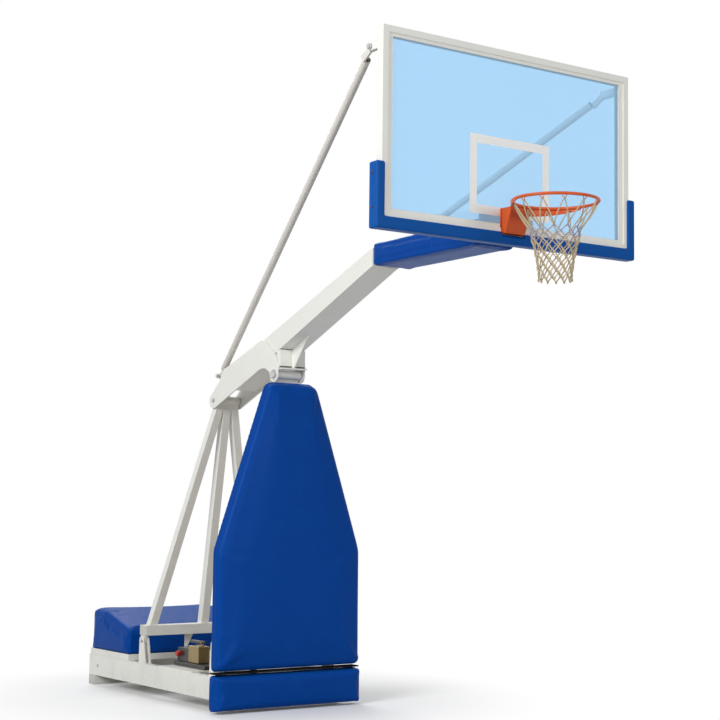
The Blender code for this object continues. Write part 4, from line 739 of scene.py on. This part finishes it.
def inflate(piece, cap, pinned):
    """Swell a remeshed pad by cloth pressure, with pinned points held and a cap on the movement."""
    rest = [v.co.copy() for v in piece.data.vertices]
    grouped(piece, "held", pinned)
    only(piece)
    cloth = piece.modifiers.new("cloth", "CLOTH")
    for key, value in CLOTH_SETTINGS.items():
        setattr(cloth.settings, key, value)
    cloth.settings.effector_weights.gravity = 0
    cloth.point_cache.frame_start = 1
    cloth.point_cache.frame_end = CLOTH_FRAMES
    for step in range(1, CLOTH_FRAMES + 1):
        bpy.context.scene.frame_set(step)
    only(piece)
    bpy.ops.object.modifier_apply(modifier=cloth.name)
    bpy.context.scene.frame_set(1)
    for v, start in zip(piece.data.vertices, rest):
        move = v.co - start
        if move.length > cap:
            v.co = start + move * (cap / move.length)
    piece.vertex_groups.clear()


def rounded(piece, chosen, rounds):
    """Round the edges of an even mesh by smoothing its chosen points."""
    grouped(piece, "rounded", chosen)
    apply_modifier(piece, "SMOOTH", factor=0.5, iterations=rounds, vertex_group="rounded")
    piece.vertex_groups.clear()


def settle(piece, node, body):
    """Finish a vinyl pad: one subdivision, its material, its body and its node."""
    apply_modifier(piece, "SUBSURF", levels=1, render_levels=1)
    smooth(piece)
    dress(piece, blue_vinyl, body, "blue_vinyl", node)


print("padding helpers ready")

# %% Front pads
BACK_BAND = 0.012
ROUNDED_FROM = 0.030
ROUNDED_ABOVE = 0.060
FIRST_ROUNDS = 6
PAD_ROOM = 0.0008


def full_height(piece, node):
    """Stretch a swollen pad back to its solid's height, which the cloth's pull has lowered."""
    low, high = (corner[2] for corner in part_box(node))
    heights = [v.co.z for v in piece.data.vertices]
    bottom, top = min(heights), max(heights)
    factor = (high - low - 2 * PAD_ROOM) / (top - bottom)
    for v in piece.data.vertices:
        v.co.z = low + PAD_ROOM + (v.co.z - bottom) * factor


def front_pad(node, name, body, voxel, swell, amounts, rounds):
    """One of the two upright front pads."""
    pad = copied_solid(node, name)
    low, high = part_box(node)
    shrink(pad, amounts, (0, 1, 0))
    even_mesh(pad, voxel)
    rounded(pad, lambda co: co.y < high.y - ROUNDED_FROM, FIRST_ROUNDS)
    rounded(pad, lambda co: co.y < high.y - ROUNDED_FROM and co.z > low.z + ROUNDED_ABOVE, rounds)
    inflate(pad, swell, lambda co: co.y > high.y - BACK_BAND)
    full_height(pad, node)
    settle(pad, node, body)
    return pad


upper_pad = front_pad("upper_front_pad", "tall_mast_pad", "mast", voxel=0.0125, swell=0.010,
                      amounts=(0.004, 0.004, 0.001), rounds=24)
lower_pad = front_pad("lower_front_pad", "low_base_pad", "base", voxel=0.008, swell=0.007,
                      amounts=(0.003, 0.004, 0.001), rounds=2)

# %% [markdown]
# ## Pads with something inside them
# The arm pad is slid over the steel nose, so it is a thick sleeve with a square bore. The
# ballast cover is a padded lid that drops over the iron. Both are swollen as the front pads are,
# with the bore or the inner walls held still, because steel lies against them there.

# %% Arm pad
SLEEVE_HALF = 0.066
SLEEVE_LOW = 2.864
SLEEVE_HIGH = 2.956
SLEEVE_TRIM = 0.003
SLEEVE_SWELL = 0.004
SLEEVE_VOXEL = 0.006


def in_sleeve(co):
    """Whether a point lies on the bore round the steel nose."""
    return abs(co.x) < SLEEVE_HALF and SLEEVE_LOW < co.z < SLEEVE_HIGH


def arm_pad():
    """The sleeve of padding round the arm's nose."""
    pad = copied_solid("arm_pad", "arm_sleeve_pad")
    low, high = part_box("arm_pad")
    for v in pad.data.vertices:
        if not in_sleeve(v.co):
            v.co.x -= math.copysign(SLEEVE_TRIM, v.co.x)
            v.co.z -= math.copysign(SLEEVE_TRIM, v.co.z - (SLEEVE_LOW + SLEEVE_HIGH) / 2)
        v.co.y -= math.copysign(SLEEVE_TRIM, v.co.y - (low.y + high.y) / 2)
    even_mesh(pad, SLEEVE_VOXEL)
    rounded(pad, lambda co: not in_sleeve(co), rounds=8)
    inflate(pad, SLEEVE_SWELL, in_sleeve)
    settle(pad, "arm_pad", "arm")


arm_pad()

# %% Ballast cover
COVER_VOXEL = 0.010
COVER_TRIM = (0.003, 0.003, 0.004)
COVER_SWELL = 0.007
COVER_SKIN = 0.018
COVER_INSIDE = 0.13


def ballast_cover():
    """The padded lid over the iron ballast."""
    pad = copied_solid("ballast_cover", "ballast_padded_cover")
    low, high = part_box("ballast_cover")
    middle = (low + high) / 2
    shrink(pad, COVER_TRIM, (0, 0, -1))
    even_mesh(pad, COVER_VOXEL)

    def held(co):
        """The inner walls and the bottom hem."""
        near_x = high.x - COVER_SKIN > abs(co.x)
        near_y = high.y - middle.y - COVER_SKIN > abs(co.y - middle.y)
        return near_x and near_y and co.z < low.z + COVER_INSIDE or co.z < low.z + COVER_VOXEL

    rounded(pad, lambda co: not held(co), rounds=10)
    inflate(pad, COVER_SWELL, held)
    settle(pad, "ballast_cover", "base")
    return pad


cover_pad = ballast_cover()

# %% [markdown]
# ## Board edge pad
# The pad along the board's lower edge is one moulding that is pressed over the frame, with
# screws at its upper ends. A voxel remesh of its solid, smoothed a little, gives the soft radii
# of a moulding. It isn't swollen, because skinned foam keeps the shape of its mould.

# %% Board edge pad
EDGE_VOXEL = 0.0045


def board_edge_pad():
    """The moulded channel round the board's lower edge."""
    pad = copied_solid("board_pad", "board_edge_pad")
    even_mesh(pad, EDGE_VOXEL)
    apply_modifier(pad, "SMOOTH", factor=0.5, iterations=4)
    smooth(pad)
    dress(pad, board_foam, "board", "blue_vinyl", "board_pad")


board_edge_pad()

# %% [markdown]
# ## Painted rectangle
# The aiming rectangle is screen printed on the face of the glass, 590 by 450 mm outside with
# lines 50 mm wide. It is a flat plane whose faces are inset by the line width, with the middle
# deleted, and it gets a film's thickness so that light catches it.

# %% Painted rectangle
LINE = 0.050
RECTANGLE = (0.590, 0.450)
RECTANGLE_LOW = 3.000
PRINT_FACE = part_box("board_glass")[0].y - 0.00022
PRINT_FILM = 0.00016
INK = linear(251, 252, 250)
INK_THIN = linear(226, 230, 230)


def print_paint():
    """White screen ink, thin enough to show a fine mesh texture."""
    r = Recipe("screen_print_white")
    mesh = r.noise(240.0, 3.0, 0.6)
    return r.finish(Base_Color=r.mix(mesh * 0.12, rgba(INK), rgba(INK_THIN)),
                    Roughness=mesh * 0.1 + 0.42, Normal=r.bump(mesh, 0.0001, 0.5))


def aiming_rectangle():
    """The white frame printed on the glass."""
    middle = Vector((0, PRINT_FACE, RECTANGLE_LOW + RECTANGLE[1] / 2))
    ink = primitive(bpy.ops.mesh.primitive_plane_add, "painted_rectangle", (*RECTANGLE, 1), size=1,
                    location=middle, rotation=(math.pi / 2, 0, 0))
    with edit_mode(ink):
        bpy.ops.mesh.inset(thickness=LINE)
        bpy.ops.mesh.delete(type="FACE")
    apply_modifier(ink, "SOLIDIFY", thickness=PRINT_FILM, offset=0.0)
    dress(ink, print_paint(), "board", "white_paint")


aiming_rectangle()

# %% [markdown]
# ## Ring and brace
# The ring is one bar of solid steel bent round and welded shut, with a strap under its rear half
# that ties it to the housing, and twelve bent wires that hold the net. The frame's ring is
# coarse, so this one is a finer torus. The strap starts as a cylinder without ends: the part
# inside the sector is kept, its lower edge is lifted towards the tips, and it gets a thickness.

# %% Ring
RING_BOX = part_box("rim_ring")
RING_MIDDLE = Vector((0.0, (RING_BOX[0].y + RING_BOX[1].y) / 2, RING_BOX[1].z - 0.009))
RING_RADIUS = RING_BOX[1].x - 0.009
RING_BAR = 0.0088
STRAP_RADIUS = RING_RADIUS + 0.005
STRAP_TOP = RING_MIDDLE.z - 0.005
STRAP_HEIGHT = 0.046
STRAP_SECTOR = math.radians(78)
STRAP_SHEET = 0.0048
TIP_LIFT = 0.8
WELD_RAISED = 0.0016
WELD_SUNK = 0.0004


def ring_bar():
    """The round bar of the ring."""
    return primitive(bpy.ops.mesh.primitive_torus_add, "ring_bar", major_radius=RING_RADIUS,
                     minor_radius=RING_BAR, major_segments=128, minor_segments=20, location=RING_MIDDLE)


def ring_strap():
    """The strap under the rear half, lower in the middle than at its tips."""
    strap = primitive(bpy.ops.mesh.primitive_cylinder_add, "ring_strap", vertices=120,
                      radius=STRAP_RADIUS, depth=STRAP_HEIGHT, end_fill_type="NOTHING",
                      location=RING_MIDDLE)
    bm = bmesh.new()
    bm.from_mesh(strap.data)

    def turn(co):
        """Angle from straight back."""
        return abs(math.atan2(co.x, co.y - RING_MIDDLE.y))

    bmesh.ops.delete(bm, geom=[v for v in bm.verts if turn(v.co) > STRAP_SECTOR], context="VERTS")
    for v in bm.verts:
        share = turn(v.co) / STRAP_SECTOR
        high = v.co.z > RING_MIDDLE.z
        v.co.z = STRAP_TOP if high else STRAP_TOP - STRAP_HEIGHT * (1 - TIP_LIFT * share ** 1.5)
    bm.to_mesh(strap.data)
    bm.free()
    apply_modifier(strap, "SOLIDIFY", thickness=STRAP_SHEET, offset=0.0, use_even_offset=True)
    bevelled(strap, 0.0012, math.radians(50))
    return strap


def weld_seam():
    """The butt weld that closes the ring, a low swollen band at the back."""
    return primitive(bpy.ops.mesh.primitive_torus_add, "ring_weld", major_radius=RING_BAR - WELD_SUNK,
                     minor_radius=WELD_RAISED, major_segments=28, minor_segments=8,
                     rotation=(0, math.pi / 2, 0), location=RING_MIDDLE + Vector((0, RING_RADIUS, 0)))


print("ring parts defined")

# %% Net hooks
HOOKS = 12
HOOK_WIRE = 0.0021
HOOK_HALF = ((0.003, 0.2305, 3.0192), (0.0075, 0.2308, 3.0215), (0.0105, 0.2325, 3.0280),
             (0.011, 0.2350, 3.0345))


def wire(name, points, radius, sides=2, closed=False):
    """A round wire along points, made as a curve and turned into a mesh."""
    data = bpy.data.curves.new(name, "CURVE")
    data.dimensions = "3D"
    data.bevel_depth = radius
    data.bevel_resolution = sides
    data.use_fill_caps = True
    spline = data.splines.new("POLY")
    spline.points.add(len(points) - 1)
    for point, place in zip(spline.points, points):
        point.co = (*place, 1.0)
    spline.use_cyclic_u = closed
    only(link_new(name, data))
    bpy.ops.object.convert(target="MESH")
    return named(name)


def spun(piece):
    """A piece and its copies at even turns about the ring's middle, each with its own mesh."""
    made = [piece]
    for index in range(1, HOOKS):
        mesh = piece.data.copy()
        turn = Matrix.Rotation(2 * math.pi * index / HOOKS, 4, "Z")
        mesh.transform(Matrix.Translation(RING_MIDDLE) @ turn @ Matrix.Translation(-RING_MIDDLE))
        made.append(link_new("%s_%d" % (piece.name, index), mesh))
    return made


def net_hooks():
    """Twelve bent wires under the ring."""
    right = [(across, RING_MIDDLE.y + radius, z) for across, radius, z in HOOK_HALF]
    left = [(-x, y, z) for x, y, z in reversed(right)]
    return spun(wire("net_hook", left + right, HOOK_WIRE))


hoop = joined([ring_bar(), ring_strap(), weld_seam(), *net_hooks()], "hoop_ring")
smooth_angle(hoop, 45)
dress(hoop, orange_paint, "rim", "orange_paint", "rim_ring")

# %% [markdown]
# ## Net
# A basketball net is knotted from laid cord: twelve loops hang from the ring and open into
# diamonds that narrow to a throat. Every cord runs down in one long slant, so one slanting cord
# is made, mirrored and spun twelve times, and a knot is set at each crossing. Cords that cross
# pass one in front of the other. The lay of the cord is a fine band pattern in the finish, and its
# grooves are painted darker as shade.

# %% Net cord
ROPE = linear(222, 206, 172)
ROPE_DARK = linear(172, 152, 120)
ROPE_STAIN = linear(150, 152, 190)
STAIN_LOW = (2.818, 2.840)
STAIN_HIGH = (2.905, 2.885)


def laid_cord():
    """Twisted cotton cord, grubby, with a faint blue stain where the throat begins."""
    r = Recipe("laid_net_cord")
    lay = r.node("ShaderNodeTexWave", {"wave_type": "BANDS", "bands_direction": "Z"},
                 {"Vector": r.place(), "Scale": 62.0, "Distortion": 1.2, "Detail": 2.0,
                  "Detail Scale": 6.0}, output=1)
    grime = r.noise(45.0, 4.0, 0.65)
    fibre = r.noise(1400.0, 2.0, 0.6)
    stain = r.mask(r.height(), *STAIN_LOW, soft=True) * r.mask(r.height(), *STAIN_HIGH, soft=True)
    base = r.mix(grime * 0.8, rgba(ROPE), rgba(ROPE_DARK))
    # Painted shade: the grooves of the lay, where the bump is low, are darker.
    shaded = r.mix(lay * 0.25, base, darker(ROPE_DARK, 0.6))
    return r.finish(Base_Color=r.mix(stain * 0.55, shaded, rgba(ROPE_STAIN)),
                    Roughness=fibre * 0.1 + 0.82, Specular_IOR_Level=0.25,
                    Normal=r.bump((1 - lay) * 0.8 + fibre * 0.2, 0.0009, 0.7))


cord_finish = laid_cord()
print("cord:", cord_finish.name)

# %% Net
NET_CORD = 0.0036
NET_ROWS = ((3.0243, 0.2305), (2.890, 0.143), (2.858, 0.137), (2.820, 0.127), (2.782, 0.117),
            (2.745, 0.109), (2.708, 0.102), (2.671, 0.096), (2.634, 0.092), (2.604, 0.090))
CORD_STEPS = 5
CROSSING = 0.0024
TAIL = 0.010
TAIL_LEAN = 0.002
LOOP_BOW = 0.006
KNOT_RADIUS = 0.0048
KNOT_CORD = 0.0031
KNOT_LEAN = (0.5, 0.35)


def curve_through(values, position):
    """A smooth value between rows, from the four rows around the position."""
    last = len(values) - 1
    i = min(int(position), last - 1)
    t = position - i
    a, b, c, d = (values[max(0, min(last, k))] for k in (i - 1, i, i + 1, i + 2))
    square = (2 * a - 5 * b + 4 * c - d) * t * t
    return 0.5 * (2 * b + (c - a) * t + square + (3 * b - a - 3 * c + d) * t ** 3)


def around(radius, turn, z):
    """A point at a radius and a turn about the ring's middle line."""
    return (radius * math.sin(turn), RING_MIDDLE.y + radius * math.cos(turn), z)


def slanting_cord(hand):
    """One cord from the ring to the hem, leaning by half a column at each row."""
    heights, radii = zip(*NET_ROWS)
    points = []
    for step in range((len(NET_ROWS) - 1) * CORD_STEPS + 1):
        position = step / CORD_STEPS
        row = min(int(position), len(NET_ROWS) - 2)
        part = position - row
        z = heights[row] + (heights[row + 1] - heights[row]) * part
        if row == 0:
            radius = radii[0] + (radii[1] - radii[0]) * part + LOOP_BOW * math.sin(math.pi * part)
        else:
            radius = curve_through(radii, position)
        radius += hand * CROSSING * math.cos(math.pi * position)
        points.append(around(radius, hand * math.pi * position / HOOKS, z))
    x, y, z = points[-1]
    points.append((x + hand * TAIL_LEAN, y, z - TAIL))
    return wire("net_cord", points, NET_CORD)


def knots():
    """A small wrapped knot at each crossing below the ring."""
    made = []
    for row, (z, radius) in enumerate(NET_ROWS[1:], start=1):
        turn = math.pi * (row % 2) / HOOKS
        made += spun(primitive(bpy.ops.mesh.primitive_torus_add, "knot_%d" % row,
                               major_radius=KNOT_RADIUS, minor_radius=KNOT_CORD, major_segments=12,
                               minor_segments=8, location=around(radius, turn, z),
                               rotation=(*KNOT_LEAN, -turn)))
    return made


cords = [cord for hand in SIDES for cord in spun(slanting_cord(hand))]
net = joined(cords + knots(), "knotted_net")
smooth(net)
dress(net, cord_finish, "rim", "net_rope", "net")

# %% [markdown]
# ## Bolts, nuts and washers
# Every pivot ends in a nut or a bolt head on a washer, and small ones hold the frame together. A
# hex head starts as a six-sided cylinder. Its outer face is inset and pushed in a little, which
# leaves the raised rim of a forged head, and a bevel takes the corners off. The washer is a
# round plate with a rolled edge. One bolt is modelled for each size and then copied.

# %% Hex heads
WASHER_SHARE = 1.35
WASHER_HEIGHT = 0.0022
HEAD_RIM = 0.22
HEAD_DISH = 0.105
SOCKET_DEPTH = 0.55
DOME_STEPS = ((0.12, 0.28), (0.18, 0.16), (0.20, 0.06))


def top_face(piece):
    """Edit mode with only the highest face that looks along +Z selected."""
    highest = max(face.center.z for face in piece.data.polygons)
    return edit_mode(piece, "FACE", lambda face: face.normal.z > 0.9
                     and face.calc_center_median().z > highest - 1e-6)


def push_face(piece, margin, rise):
    """Inset the top face by a margin and move it along +Z."""
    with top_face(piece):
        bpy.ops.mesh.inset(thickness=margin)
        bpy.ops.transform.translate(value=(0, 0, rise))


def upright_cylinder(name, sides, radius, low, height):
    """A cylinder on the Z axis, standing at a height."""
    return primitive(bpy.ops.mesh.primitive_cylinder_add, name, vertices=sides, radius=radius,
                     depth=height, location=(0, 0, low + height / 2))


def hex_head(name, radius, height):
    """A hex head on its washer, pointing along +Z from the origin."""
    head = upright_cylinder(name, 6, radius, WASHER_HEIGHT, height)
    push_face(head, radius * HEAD_RIM, -height * HEAD_DISH)
    bevelled(head, radius * 0.06)
    washer = upright_cylinder(name + "_washer", 28, radius * WASHER_SHARE, 0.0, WASHER_HEIGHT)
    bevelled(washer, WASHER_HEIGHT * 0.3)
    return joined([head, washer], name)


def button_head(name, radius, height):
    """A domed screw head with a socket, pointing along +Z from the origin."""
    head = upright_cylinder(name, 24, radius, 0.0, height * 0.5)
    for share, rise in DOME_STEPS:
        push_face(head, radius * share, height * rise)
    with top_face(head):
        bpy.ops.mesh.inset(thickness=radius * 0.06)
        bpy.ops.mesh.extrude_region_move(
            TRANSFORM_OT_translate={"value": (0, 0, -height * SOCKET_DEPTH)})
    return head


M30 = hex_head("nut_m30", 0.027, 0.016)
M16 = hex_head("nut_m16", 0.014, 0.010)
M10 = hex_head("bolt_m10", 0.0095, 0.0065)
BUTTON = button_head("button_screw", 0.0085, 0.005)
PAN = button_head("pan_screw", 0.0045, 0.0025)

# %% Fasteners on their bodies
SEAT = 0.0002
FIRST_TURN = 0.3
NEXT_TURN = 0.7


def set_on(pattern, name, places, finish, body, slot):
    """Copies of a fastener at (point, outward direction) places, joined as one piece on a body."""
    copies = []
    for index, (point, outward) in enumerate(places):
        mesh = pattern.data.copy()
        turn = Vector((0, 0, 1)).rotation_difference(Vector(outward)).to_matrix().to_4x4()
        spin = Matrix.Rotation(FIRST_TURN + NEXT_TURN * index, 4, "Z")
        mesh.transform(Matrix.Translation(point) @ turn @ spin)
        copies.append(link_new("%s_%d" % (name, index), mesh))
    made = joined(copies, name)
    smooth_angle(made, 35)
    dress(made, finish, body, slot)


def both_sides(x, y, z):
    """The two mirrored places of a fastener that points outwards."""
    return [((side * x, y, z), (side, 0, 0)) for side in SIDES]


def at_pin(node, x):
    """Places at a pin's ends, on the faces at x."""
    low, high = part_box(node)
    return both_sides(x + SEAT, (low.y + high.y) / 2, (low.z + high.z) / 2)


ARM_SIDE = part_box("arm_side_plate_right")[1].x
BOLT_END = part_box("tie_rod_foot_bolt")[1].x
BASE_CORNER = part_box("rear_foot_beam")[1]
TRAY_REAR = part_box("ballast_tray")[1].y
TRAY_X = (-0.36, -0.12, 0.12, 0.36)
PAD_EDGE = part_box("board_pad")[1].x
PAD_SCREWS_Z = (3.140, 2.953)
ZINC_SETS = (
    (M30, "arm_shaft_nuts", at_pin("arm_pivot_shaft", ARM_SIDE), "arm"),
    (M16, "arm_tail_nuts", at_pin("arm_tail_pin", ARM_SIDE), "arm"),
    (M16, "rod_foot_nuts", at_pin("tie_rod_foot_bolt", BOLT_END), "tie_rods"),
    (M16, "rod_top_nuts", both_sides(0.8902, -1.655, 3.870), "board"),
    (M16, "strut_foot_bolts", both_sides(0.4922, 1.599, 0.381), "base"),
    (M10, "rail_foot_bolts", both_sides(BASE_CORNER.x + SEAT, 2.285, 0.143), "base"),
    (M10, "tray_bolts", [((x, TRAY_REAR + SEAT, 0.243), (0, 1, 0)) for x in TRAY_X], "base"),
)
for pattern, name, places, body in ZINC_SETS:
    set_on(pattern, name, places, zinc, body, "zinc_steel")
# Painted shade: these screws are black so that they show as the dark holes they sit in.
set_on(BUTTON, "board_pad_screws",
       [place for z in PAD_SCREWS_Z for place in both_sides(PAD_EDGE - SEAT, -1.79, z)],
       black_paint, "board", "black_paint")

# %% Screws of the glazing bead
BEAD_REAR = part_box("glazing_bead")[1].y + SEAT
BEAD_X = 0.8575
BEAD_LOW, BEAD_HIGH = 2.940, 3.9145
BEAD_ACROSS = (-0.82, -0.615, -0.41, 0.41, 0.615, 0.82)
BEAD_TOP_ONLY = (-0.205, 0.0, 0.205)
BEAD_UP = (3.06, 3.225, 3.39, 3.555, 3.72)


def bead_places():
    """Screw places round the rear of the bead, clear of the carrier."""
    spots = [(x, z) for x in BEAD_ACROSS for z in (BEAD_LOW, BEAD_HIGH)]
    spots += [(x, BEAD_HIGH) for x in BEAD_TOP_ONLY]
    spots += [(side * BEAD_X, z) for side in SIDES for z in BEAD_UP]
    return [((x, BEAD_REAR, z), (0, 1, 0)) for x, z in spots]


set_on(PAN, "bead_screws", bead_places(), zinc, "board", "zinc_steel")
for pattern in (M30, M16, M10, BUTTON, PAN):
    bpy.data.objects.remove(pattern)
print("patterns removed")

# %% [markdown]
# ## Plastic end caps
# Open tube ends are plugged with moulded caps so that nobody is cut and no water gets in. A cap
# starts as a cube of the tube's size. Its outer face is inset and pushed out, and every edge is
# bevelled, which gives the low cushion shape of a pressed-in plug.

# %% End caps
CAP_DEPTH = 0.0035
CAP_MARGIN = 0.09
CAP_ROUND = 0.0009


def end_cap(name, middle, size, axis):
    """A low cushioned plug on a tube's end; size is across, and axis is the outward direction."""
    cap = primitive(bpy.ops.mesh.primitive_cube_add, name, (*size, CAP_DEPTH / 2), size=1,
                    location=(0, 0, CAP_DEPTH / 4))
    push_face(cap, min(size) * CAP_MARGIN, CAP_DEPTH / 2)
    bevelled(cap, CAP_ROUND, 0.2)
    if abs(axis[0]) > 0.5:
        basis = Matrix(((0, 0, axis[0]), (axis[0], 0, 0), (0, 1, 0)))
    else:
        basis = Matrix(((-axis[1], 0, 0), (0, 0, axis[1]), (0, 1, 0)))
    cap.data.transform(Matrix.Translation(middle) @ basis.to_4x4())
    return cap


def end_caps(name, body, places):
    """Plugs at (middle, size, axis) places, joined as one piece on a body."""
    caps = [end_cap("cap_%d" % index, *place) for index, place in enumerate(places)]
    made = joined(caps, name)
    smooth_angle(made, 40)
    dress(made, cap_plastic, body, "white_paint")


def cap_pair(x, y, z, size, axis=None):
    """Two mirrored plugs, which face straight out to the sides unless an axis is given."""
    return [(point, size, axis or outward) for point, outward in both_sides(x, y, z)]


rails = cap_pair(0.465, BASE_CORNER.y + SEAT, 0.145, (0.050, 0.150), (0, 1, 0))
feet = cap_pair(BASE_CORNER.x + SEAT, 2.377, 0.0350, (0.094, 0.0690))
end_caps("base_end_caps", "base", rails + feet)
end_caps("crossbar_end_caps", "strut_frame", cap_pair(0.4838, 1.590, 0.452, (0.100, 0.070)))

# %% [markdown]
# ## Weld beads
# Square tube is welded where it lands on another member, and the bead is a low rippled ridge. A
# wire runs round each foot of tube and rises and falls a little on its way, as a hand weld does,
# and the same white powder covers it.

# %% Weld beads
BEAD = 0.0028
BEAD_STEPS = 60
BEAD_RIPPLES = 46
RIPPLE = 0.0005
TUBE_HALF = 0.0312
FEET_X = (-0.4169, 0.0, 0.4169)
FEET_Y = 1.5922
FEET_Z = 0.4885
BEAD_CORNERS = ((-1, -1), (1, -1), (1, 1), (-1, 1), (-1, -1))


def weld_round(x):
    """A rippled bead round the square foot of the strut at x."""
    points = []
    for (ax, ay), (bx, by) in zip(BEAD_CORNERS, BEAD_CORNERS[1:]):
        for step in range(BEAD_STEPS // 4):
            share = step / (BEAD_STEPS // 4)
            wave = RIPPLE * math.sin(2 * math.pi * BEAD_RIPPLES * len(points) / BEAD_STEPS)
            points.append((x + (ax + (bx - ax) * share) * TUBE_HALF,
                           FEET_Y + (ay + (by - ay) * share) * TUBE_HALF, FEET_Z + wave))
    return wire("strut_weld", points, BEAD, sides=1, closed=True)


welds = joined([weld_round(x) for x in FEET_X], "strut_foot_welds")
smooth(welds)
dress(welds, white_paint, "strut_frame", "white_paint")

# %% [markdown]
# ## Seams of the pads
# Each sewn pad has a welt where its front skin meets the side band that is stapled to the board.
# A copy of the pad is cut by a plane with nothing kept but the cut line, and the line becomes a
# curve with a round section, so the welt follows every bulge of the swollen vinyl.

# %% Welts
WELT = 0.0026
WELT_BACK = 0.020
WELT_UP = 0.03


def welt(pad, place, direction, name, body):
    """A sewn welt round a pad, where a plane cuts it."""
    line = link_new(name, pad.data.copy())
    with edit_mode(line):
        bpy.ops.mesh.bisect(plane_co=place, plane_no=direction, clear_inner=True, clear_outer=True)
    bpy.ops.object.convert(target="CURVE")
    line = bpy.context.object
    line.data.bevel_depth = WELT
    line.data.bevel_resolution = 1
    bpy.ops.object.convert(target="MESH")
    made = named(name)
    bpy.ops.object.shade_smooth()
    dress(made, blue_vinyl, body, "blue_vinyl")


for node, pad, name, body in (("upper_front_pad", upper_pad, "mast_pad_welt", "mast"),
                              ("lower_front_pad", lower_pad, "base_pad_welt", "base")):
    welt(pad, (0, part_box(node)[1].y - WELT_BACK, 0), (0, 1, 0), name, body)
welt(cover_pad, (0, 0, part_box("ballast_cover")[0].z + WELT_UP), (0, 0, 1), "cover_hem_welt", "base")

# %% [markdown]
# ## Small plates and strips
# A folded plate closes the arm's neck between its two side plates, and a foam strip under the
# tall pad closes the slit above the low one; the strip is painted near black as the shade in that
# slit. Both start as a plane or a cube of the right size, get their thickness, and have every edge
# rounded.

# %% Arm neck plate
NECK_SHEET = 0.004
NECK_Y = 0.4470
NECK_LOW, NECK_HIGH = 2.2858, 2.3960
NECK_HALF = 0.0976
NECK_RETURN = 0.050


def fold_back(sheet, side):
    """Fold a return back from one side edge of the sheet."""
    def on_edge(edge):
        """Whether an edge is the sheet's own edge on that side."""
        return all(side * v.co.x > 0.9 * NECK_HALF and v.co.y < NECK_Y + 0.001 for v in edge.verts)

    with edit_mode(sheet, "EDGE", on_edge):
        bpy.ops.mesh.extrude_region_move(TRANSFORM_OT_translate={"value": (0, NECK_RETURN, 0)})


def neck_plate():
    """The white folded sheet between the arm's side plates."""
    sheet = primitive(bpy.ops.mesh.primitive_plane_add, "arm_neck_plate",
                      (2 * NECK_HALF, NECK_HIGH - NECK_LOW, 1), size=1,
                      location=(0, NECK_Y, (NECK_LOW + NECK_HIGH) / 2), rotation=(math.pi / 2, 0, 0))
    for side in SIDES:
        fold_back(sheet, side)
    apply_modifier(sheet, "SOLIDIFY", thickness=NECK_SHEET, offset=0.0, use_even_offset=True)
    bevelled(sheet, 0.0012)
    smooth_angle(sheet, 35)
    dress(sheet, white_paint, "arm", "white_paint")


neck_plate()

# %% Foam strip
STRIP = ((-0.566, 0.566), (0.4300, 0.5140), (0.2515, 0.2610))
STRIP_ROUND = 0.002


def gap_strip():
    """The strip under the tall pad and its board, near black as painted shade in the slit."""
    strip = primitive(bpy.ops.mesh.primitive_cube_add, "pad_gap_strip",
                      [high - low for low, high in STRIP], size=1,
                      location=[(low + high) / 2 for low, high in STRIP])
    with edit_mode(strip):
        bpy.ops.mesh.bevel(offset=STRIP_ROUND, segments=3, profile=0.5)
    smooth_angle(strip, 40)
    dress(strip, slit_shade_finish, "mast", "wheel_tread")


gap_strip()

# %% [markdown]
# ## End

# %% End
print("end of the script")
